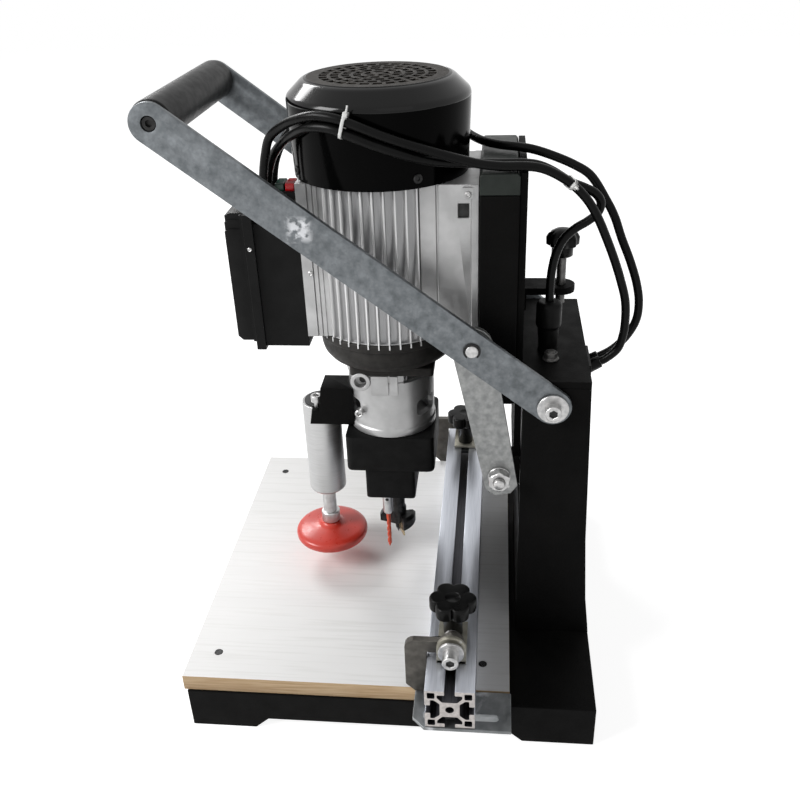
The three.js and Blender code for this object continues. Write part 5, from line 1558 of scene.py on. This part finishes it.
def make_electrics():
    box = extent("junction_lid")
    large, small = LID_CORNERS.large, LID_CORNERS.small
    parts = []
    for rise, inset in LID_STEPS:
        back = inset * LID_SETBACK_SHARE
        rear, front, foot = box.y1 - back, box.y0 + back, box.z0 + back
        outline = [(rear, foot), (rear, rise), (front + large, rise), (front, rise - small),
                   (front, foot + large), (front + large, foot)]
        parts.append(plate("step", outline, box.x0 + inset, box.x1 - inset, plane="X", bevel=0.6))
    lid = together("junction_lid.moulded", *parts)
    dress(lid, PLASTIC, "head", "junction_lid")
    edge = block("junction_lid.edge", (box.x0 - LID_EDGE.out, box.x1 + LID_EDGE.out),
                 (box.y1 - LID_EDGE.front, box.y1 - LID_EDGE.rear),
                 (box.z0 - LID_EDGE.low, box.z1 - LID_EDGE.high))
    dress(edge, PLASTIC, "head")
    screw = socket_screw("junction_box.screw", "junction", at(*JUNCTION_SCREW, "X"))
    dress(screw, BOLT, "head")
    for i, place in enumerate(RELIEF_PLACES):
        made = lathe("junction_box.relief_%d" % i, RELIEF_OUTLINE, at(*place), segments=SMALL,
                     closed=True)
        dress(made, PLASTIC, "head")
    boot = extent("cable_boot")
    rings = raised(BOOT_FOOT, boot.z0) + raised(BOOT_HEAD, boot.z1)
    made = lathe("cable_boot.moulded", rings, at(boot.x, boot.y, 0), edge=1.2)
    dress(made, PLASTIC, "root", "cable_boot")


TABLE_SCREWS = [(-145, -153), (-145, 82), (145, -153), (145, 82)]


def make_table():
    board = extent("table_board")
    made = block("table_board.panel", (board.x0, board.x1), (board.y0, board.y1),
                 (board.z0, board.z1))
    dress(made, LAMINATE, "root", "table_board")
    for i, (x, y) in enumerate(TABLE_SCREWS):
        screw = socket_screw("table_board.screw_%d" % i, "table", at(x, y, board.z1))
        dress(screw, BLACK_BOLT, "root")


for make in (
    make_plain_pieces, make_table, make_fan_cover, make_motor, make_gear_head, make_tools,
    make_hold_down, make_lever, make_pivots, make_knobs, make_fence, make_stops, make_electrics,
):
    make()


# Floor and light: a white floor that shows the object's shadow, in a bright room

FLOOR_SIZE_M = 8.0
FLOOR_CELLS = 8
FLOOR_DROP_M = 0.0005
FLOOR_TONE = 0.50
FLOOR_WHITE = 0.90
ROOM_LIGHT = 0.14


def background_rays(nodes, links):
    """1 for the rays that show the background: the camera's, and reflected or refracted ones."""
    path = nodes.new("ShaderNodeLightPath")
    seen = path.outputs["Is Camera Ray"]
    for kind in ("Is Glossy Ray", "Is Transmission Ray"):
        either = nodes.new("ShaderNodeMath")
        either.operation = "MAXIMUM"
        links.new(seen, either.inputs[0])
        links.new(path.outputs[kind], either.inputs[1])
        seen = either.outputs["Value"]
    return seen


def make_floor():
    bm = bmesh.new()
    bmesh.ops.create_grid(bm, x_segments=FLOOR_CELLS, y_segments=FLOOR_CELLS, size=FLOOR_SIZE_M / 2)
    mesh = bpy.data.meshes.new("floor")
    bm.to_mesh(mesh)
    bm.free()
    floor = in_scene("floor", mesh)
    floor.location.z = -FLOOR_DROP_M
    finish = Finish("pale_floor", Roughness=0.9, Specular_IOR_Level=0.0)
    finish.colour(grey(FLOOR_TONE))
    seen = background_rays(finish.nodes, finish.links)
    glow = finish.calculated("MULTIPLY", seen, FLOOR_WHITE)
    finish.shader.inputs["Emission Color"].default_value = (1, 1, 1, 1)
    finish.links.new(glow, finish.shader.inputs["Emission Strength"])
    floor.data.materials.append(finish.material)


def make_world():
    world = bpy.data.worlds.new("room")
    scene.world = world
    world.use_nodes = True
    nodes = world.node_tree.nodes
    links = world.node_tree.links
    back = nodes["Background"]
    back.inputs["Color"].default_value = (1, 1, 1, 1)
    strength = nodes.new("ShaderNodeMapRange")
    strength.inputs["To Min"].default_value = ROOM_LIGHT
    strength.inputs["To Max"].default_value = 1.0
    links.new(background_rays(nodes, links), strength.inputs["Value"])
    links.new(strength.outputs["Result"], back.inputs["Strength"])


# Places and sizes of the lamps in metres
LIGHTS = {
    "key": Sizes(place=(1.12, -2.47, 1.87), size=(1.4, 1.4), watts=94),
    "fill": Sizes(place=(1.7, 0.9, 1.6), size=(1.6, 1.6), watts=1.5),
    "rim": Sizes(place=(-1.3, -1.18, 1.46), size=(0.8, 0.5), watts=17),
}
AIM_M = (0, 0, 0.28)


def make_lights():
    for name, light in LIGHTS.items():
        data = bpy.data.lights.new(name, "AREA")
        data.shape = "RECTANGLE"
        data.size, data.size_y = light.size
        data.energy = light.watts
        lamp = in_scene(name, data)
        place = Vector(light.place)
        lamp.location = place
        lamp.rotation_euler = (Vector(AIM_M) - place).to_track_quat("-Z", "Y").to_euler()


make_floor()
make_world()
make_lights()
